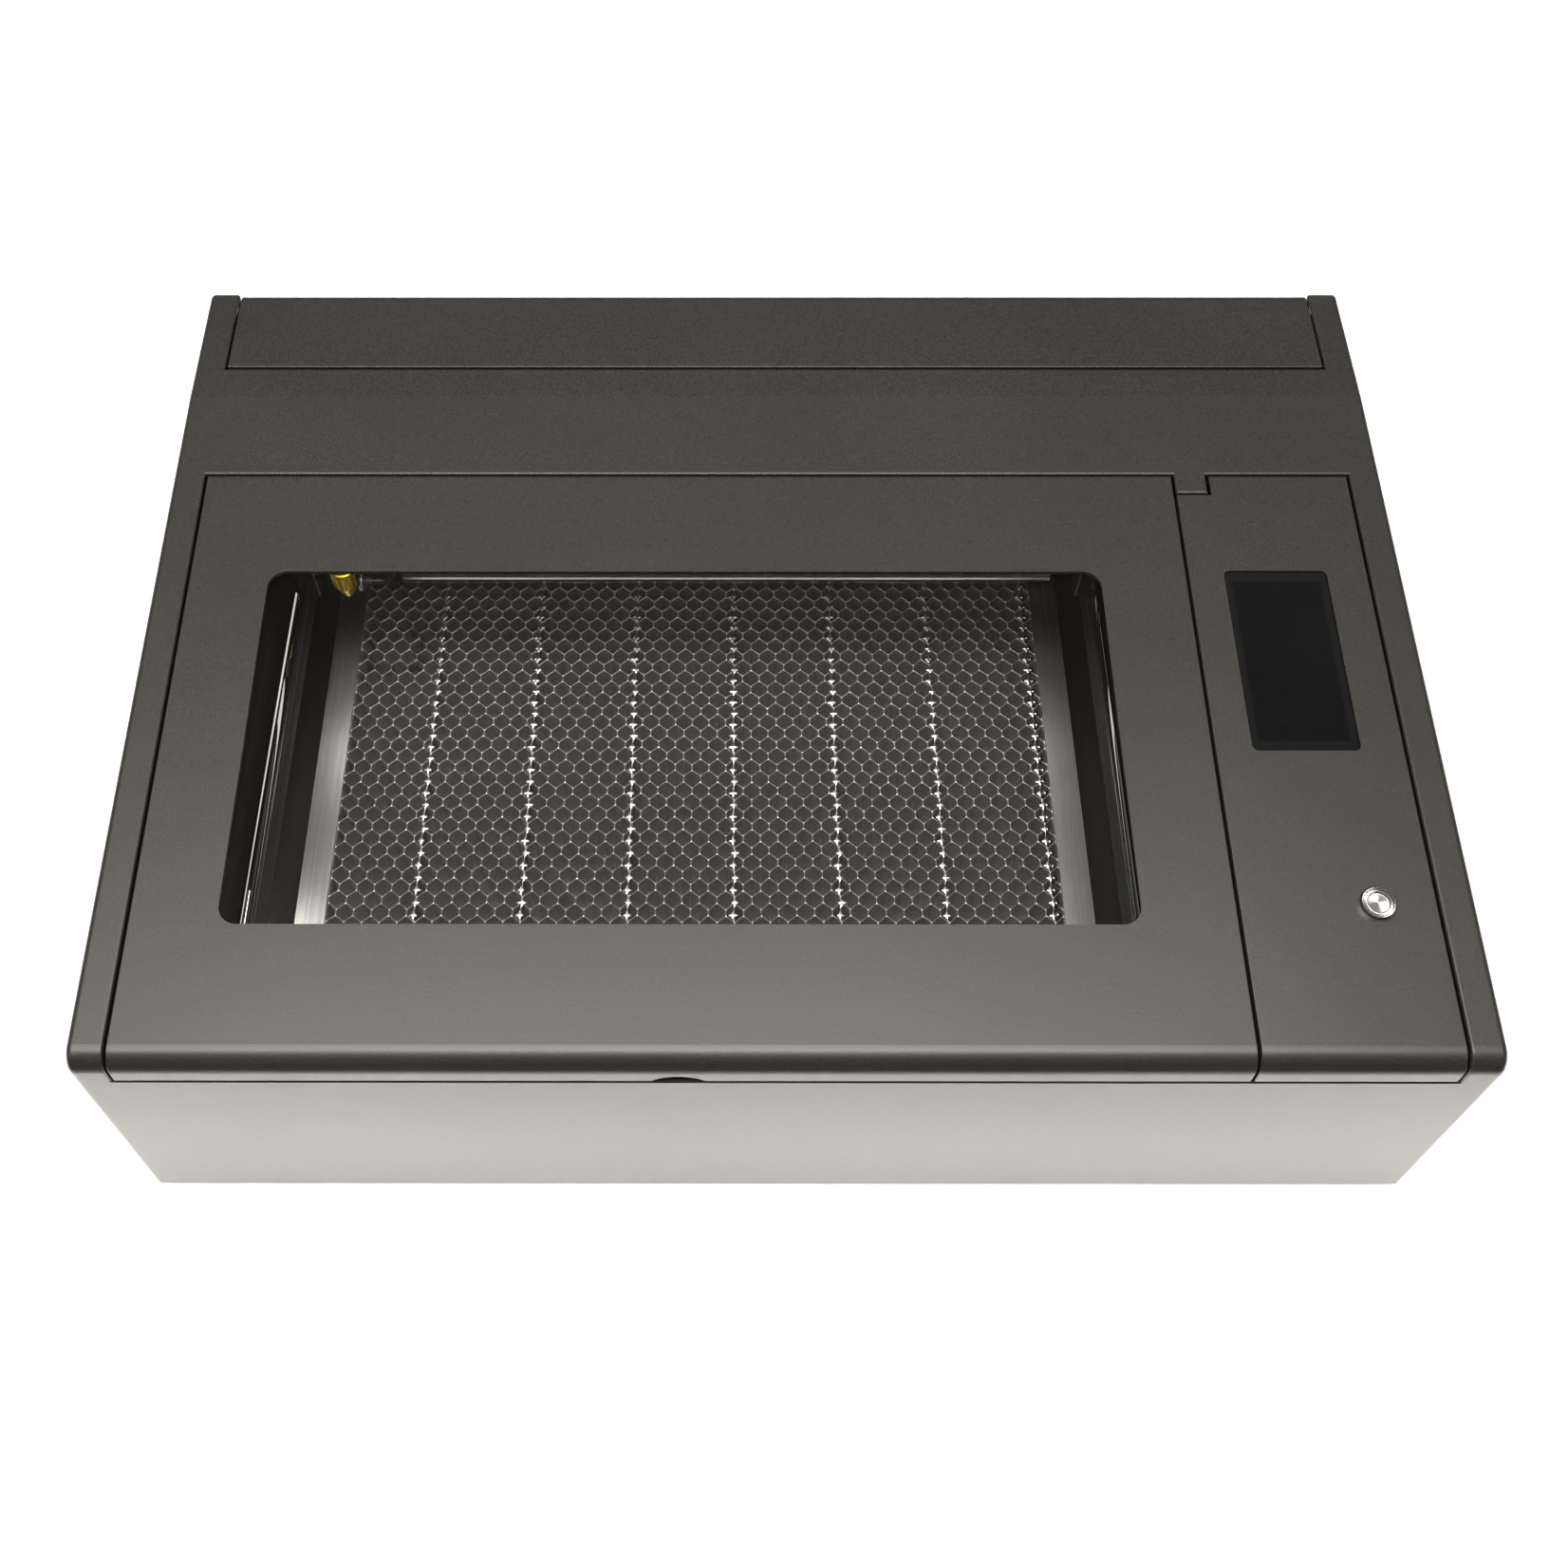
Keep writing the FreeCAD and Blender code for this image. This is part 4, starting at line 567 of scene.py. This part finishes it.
    def edge_beads(bm):
        """Foil drawn up into a bead at the end of each row, along the right edge."""
        for row in range(rows):
            y = low.y + FIRST_KNOT + CELL_Y * row + rng.gauss(0, 0.2 * MM)
            if y < high.y - 3 * MM:
                at = Vector((high.x - 3.2 * MM + rng.gauss(0, 0.25 * MM), y, high.z - 0.4 * MM))
                lathe(bm, at, (0, 0, 1), [
                    (0, -2.0), (1.7, -2.0), (1.8, 0.0), (1.6, 0.65), (1.2, 1.15), (0.6, 1.45),
                    (0, 1.55),
                ], count=18)

    finish_mesh(
        "honeycomb_beads", edge_beads,
        # Painted shade: this copy of the foil is tinted far darker than the rest of the honeycomb,
        # so each bead looks dark round its small highlight.
        honeycomb_look("bead_foil", (0.34, 0.345, 0.34), (0.24, 0.245, 0.24), (0.13, 0.2),
                       scorched=False),
        "case", smooth=50,
    )


def lathe(bm, at, axis, outline, count):
    """Turns an outline of (radius, height) in millimetres round an axis through a point."""
    ahead = Vector(axis).normalized()
    side = ahead.orthogonal().normalized()
    across = ahead.cross(side)
    rings = []
    for radius, height in outline:
        centre = Vector(at) + ahead * height * MM
        if radius == 0:
            rings.append([bm.verts.new(centre)])
            continue
        angles = [2 * math.pi * i / count for i in range(count)]
        rings.append([
            bm.verts.new(centre + (side * math.cos(a) + across * math.sin(a)) * radius * MM)
            for a in angles
        ])
    for lower, upper in zip(rings, rings[1:]):
        for i in range(count):
            j = (i + 1) % count
            if len(lower) == 1:
                bm.faces.new((lower[0], upper[j], upper[i]))
            elif len(upper) == 1:
                bm.faces.new((lower[i], lower[j], upper[0]))
            else:
                bm.faces.new((lower[i], lower[j], upper[j], upper[i]))


def ribbon(bm, x, y_from, y_to, top, knots):
    """Folded foil that runs along Y and widens at each knot, given as (y, side)."""
    steps = round((y_to - y_from) / (1.2 * MM))
    rings = []
    for i in range(steps + 1):
        y = y_from + (y_to - y_from) * i / steps
        near, side = min((abs(y - at), side) for at, side in knots)
        swell = math.exp(-((near / (1.6 * MM)) ** 2))
        half = (0.22 + 0.5 * swell) * MM
        height = top - 0.2 * MM + 0.35 * MM * swell
        outline = ((-1, -6), (-1, -0.35), (-0.5, 0), (0.5, 0), (1, -0.35), (1, -6))
        rings.append([
            bm.verts.new((x + side * swell + half * a, y, height + b * MM)) for a, b in outline
        ])
    loft(bm, rings)


def loft(bm, rings, capped=True):
    """Quads between rings of vertices, closed at both ends if capped."""
    for lower, upper in zip(rings, rings[1:]):
        for i in range(len(lower)):
            j = (i + 1) % len(lower)
            bm.faces.new((lower[i], lower[j], upper[j], upper[i]))
    if capped:
        bm.faces.new(rings[-1])
        bm.faces.new(list(reversed(rings[0])))


CRIMP_CORE = 1.4  # radius between the arms, in millimetres
ARM_SPREAD = 0.36  # radians


def crimp(bm, at, rng):
    """A rounded star of foil: one long arm each way along X and Y."""
    arms = (
        (0, 2.5 + rng.gauss(0, 0.25)), (math.pi, 2.5 + rng.gauss(0, 0.25)),
        (math.pi / 2, 2.3 + rng.gauss(0, 0.3)), (-math.pi / 2, 2.3 + rng.gauss(0, 0.3)),
    )  # direction and length in millimetres
    turn = rng.gauss(0, 0.12)
    count = 24
    rings = []
    profile = ((-0.6, 1.0), (0.35, 0.96), (0.5, 0.84), (0.74, 0.4), (0.86, 0.1))
    for height, share in profile:
        ring = []
        for i in range(count):
            angle = 2 * math.pi * i / count + turn
            reach = CRIMP_CORE
            for direction, length in arms:
                gap = abs((angle - direction + math.pi) % (2 * math.pi) - math.pi)
                reach += (length - CRIMP_CORE) * math.exp(-((gap / ARM_SPREAD) ** 2))
            ring.append(bm.verts.new(at + Vector((
                math.sin(angle) * reach * share, math.cos(angle) * reach * share, height,
            )) * MM))
        rings.append(ring)
    loft(bm, rings)


honeycomb()


# ---------------------------------------------------------------- gantry and head
def head_details():
    """The push-in air fitting on the side of the head: a plated flange and a black collar."""
    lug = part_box("head_body")[0].x + LUG_FACE
    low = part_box("air_hose")[0]
    at = Vector((lug, HEAD_Y, low.z + HOSE_RADIUS))

    def flange(bm):
        lathe(bm, at, (1, 0, 0), [
            (2.15, -1.2), (5.2, -1.2), (5.5, -0.9), (5.5, 0.2), (5.2, 0.5), (2.15, 0.5),
            (2.15, -1.2),
        ], count=28)

    def collar(bm):
        lathe(bm, at, (1, 0, 0), [
            (2.15, 0.5), (3.3, 0.5), (3.3, 2.6), (2.9, 3.0), (2.7, 5.6), (2.4, 6.0), (2.15, 6.0),
            (2.15, 0.5),
        ], count=24)

    finish_mesh("air_fitting_flange", flange, nickel, "head", smooth=40)
    finish_mesh("air_fitting_collar", collar, black_plastic, "head", smooth=40)


head_details()


# ---------------------------------------------------------------- stage, light and camera
WARM = (1.0, 0.97, 0.925)
FLOOR_REACH = 6.0  # from the middle to each edge of the floor
WALL_RADIUS = 3.0
WALL_FOOT, WALL_TOP = -0.02, 5.0


def build_stage():
    """A pale paper floor."""
    data = bpy.data.meshes.new("floor")
    data.from_pydata(
        [(FLOOR_REACH * x, FLOOR_REACH * y, 0) for x, y in ((-1, -1), (1, -1), (1, 1), (-1, 1))],
        [], [(0, 1, 2, 3)],
    )
    floor = link("floor", data)
    p = Paint("floor_paper", specular=0.2)
    mottle = p.noise(3, 3)
    p.set(
        color=p.mix(p.remap(mottle, 0.3, 0.7, 0, 1), (0.80, 0.80, 0.795), (0.84, 0.84, 0.835)),
        roughness=p.remap(p.noise(60, 2), 0.3, 0.7, 0.7, 0.85),
    )
    data.materials.append(p.material)


def build_backdrop():
    """A pale paper wall all round, seen by the camera alone."""
    bm = bmesh.new()
    count = 96
    rings = [
        [bm.verts.new((WALL_RADIUS * math.cos(a), WALL_RADIUS * math.sin(a), z))
         for a in (2 * math.pi * i / count for i in range(count))]
        for z in (WALL_FOOT, WALL_TOP)
    ]
    loft(bm, rings, capped=False)
    data = bpy.data.meshes.new("backdrop")
    bm.to_mesh(data)
    bm.free()
    wall = link("backdrop", data)
    p = Paint("backdrop_paper", emission_strength=1.0)
    mottle = p.noise(1.5, 3)
    p.set(
        color=(0.02, 0.02, 0.02),
        emission=p.mix(p.remap(mottle, 0.3, 0.7, 0, 1), (0.93, 0.93, 0.92), (0.98, 0.98, 0.975)),
    )
    data.materials.append(p.material)
    for ray in ("diffuse", "glossy", "transmission", "shadow"):
        setattr(wall, "visible_" + ray, False)


def build_flag():
    """Two black cards in front of the machine, one flat and one upright.

    Only mirrored rays meet them, so the front of the machine mirrors black and not the floor.
    """
    data = bpy.data.meshes.new("flag")
    bm = bmesh.new()
    box_mesh(bm, (-1.6, -1.1, 0.002), (1.6, -0.36, 0.004))
    box_mesh(bm, (-1.6, -1.12, 0.002), (1.6, -1.1, 0.75))
    bm.to_mesh(data)
    bm.free()
    flag = link("flag", data)
    data.materials.append(Paint("flag_cloth", color=(0.004, 0.004, 0.004), roughness=0.9).material)
    for ray in ("camera", "diffuse", "transmission", "shadow"):
        setattr(flag, "visible_" + ray, False)


def softbox(name, at, aim, width, height, power, tint=WARM):
    """A rectangular lamp that faces a point. power is in watts."""
    light = bpy.data.lights.new(name, "AREA")
    light.shape = "RECTANGLE"
    light.size, light.size_y = width, height
    light.energy = power
    light.color = tint
    lamp = link(name, light)
    lamp.location = at
    lamp.rotation_euler = (Vector(aim) - Vector(at)).to_track_quat("-Z", "Y").to_euler()
    return lamp


def floor_lamp(name, at, aim, width, height, power):
    """Lights mainly the floor: it isn't seen, and nothing mirrors it."""
    lamp = softbox(name, at, aim, width, height, power, (1.0, 0.965, 0.92))
    lamp.data.spread = math.radians(100)
    lamp.visible_glossy = False
    lamp.visible_camera = False


def chamber_lamp(name, at, width, length, power, spread=180):
    """A strip under the lid that shines straight down into the work chamber."""
    lamp = softbox(name, at, (at[0], at[1], 0), width, length, power, (1.0, 0.97, 0.93))
    lamp.data.spread = math.radians(spread)
    lamp.visible_camera = False


# sine of a ray's elevation, and how bright the world is there; below the horizon it is as at 0
SKY = ((0.0, 0.02), (0.6, 0.07), (0.7, 0.55), (0.8, 0.22), (0.9, 0.16), (1.0, 0.4))


def build_world():
    """Dim surroundings with a brighter band about 45 degrees above the horizon."""
    world = bpy.data.worlds.new("studio")
    bpy.context.scene.world = world
    world.use_nodes = True
    tree = world.node_tree
    background = tree.nodes["Background"]
    where = tree.nodes.new("ShaderNodeTexCoord")
    split = tree.nodes.new("ShaderNodeSeparateXYZ")
    ramp = tree.nodes.new("ShaderNodeValToRGB")
    tree.links.new(where.outputs["Generated"], split.inputs[0])
    tree.links.new(split.outputs[2], ramp.inputs[0])
    tree.links.new(ramp.outputs[0], background.inputs[0])
    ramp.color_ramp.elements[0].position = SKY[0][0]
    ramp.color_ramp.elements[1].position = SKY[-1][0]
    for place, _ in SKY[1:-1]:
        ramp.color_ramp.elements.new(place)
    for element, (_, level) in zip(ramp.color_ramp.elements, SKY):
        element.color = (level, level * 0.98, level * 0.95, 1)
    background.inputs[1].default_value = 1.0


ROD_MIDDLE_Y = -42.5 * MM  # of the part of the left rod that glow_rod lights
UNDER_LID = 153.5 * MM  # height of the strips beside the window


def build_light():
    """One large lamp overhead, a strip for the lid's nose, and small lamps for dark places.

    glow_rod stands beside the left rod, and its highlight is the bright line on that rod.
    """
    softbox("overhead", (-0.2, -0.22, 2.1), (-0.2, -0.22, 0.1), 2.1, 1.4, 82)
    floor_lamp("floor_front", (0.0, -0.262, 0.12), (0, -0.262, 0.0), 2.0, 0.05, 2.75)
    softbox("nose_strip", (-0.1, -0.6, 2.05), (-0.1, -0.6, 0.1), 2.2, 0.22, 20)
    floor_lamp("floor_rear", (0.0, 1.5, 1.2), (0, 1.3, 0.0), 3.0, 0.6, 30)
    chamber_lamp("glow_left", (-0.262, -0.13, UNDER_LID), 0.006, 0.11, 0.04, spread=70)
    rod_lamp = softbox("glow_rod", (-0.266, ROD_MIDDLE_Y, 0.101), (-0.2606, -0.04276, 0.0926),
                       0.25, 0.004, 0.01, (1.0, 0.97, 0.95))
    rod_lamp.data.spread = math.radians(110)
    rod_lamp.visible_camera = False
    chamber_lamp("glow_right", (0.152, -0.02, UNDER_LID), 0.006, 0.33, 0.008)
    chamber_lamp("glow_rear", (-0.0525, 0.047, 0.155), 0.395, 0.03, 0.16)


def build_camera():
    """Stands in front of the machine and looks down on it, where a fit to the photograph put it."""
    data = bpy.data.cameras.new("camera")
    data.sensor_width = 36
    data.lens = 40.75
    data.shift_x = 0.03935
    data.clip_start, data.clip_end = 0.05, 50
    camera = link("camera", data)
    down, aside, roll = (math.radians(angle) for angle in (58.31, -0.25, -0.18))
    ahead = Vector((
        math.sin(aside) * math.cos(down), math.cos(aside) * math.cos(down), -math.sin(down),
    ))
    level = Vector((math.cos(aside), -math.sin(aside), 0))
    above = level.cross(ahead)
    right = math.cos(roll) * level + math.sin(roll) * above
    up = -math.sin(roll) * level + math.cos(roll) * above
    place = Matrix((right, up, -ahead)).transposed().to_4x4()
    place.translation = (-0.0255, -0.5157, 0.8613)
    camera.matrix_world = place
    bpy.context.scene.camera = camera


build_stage()
build_backdrop()
build_flag()
build_world()
build_light()
build_camera()
bpy.context.scene.view_settings.view_transform = "Standard"
bpy.context.scene.view_settings.look = "None"
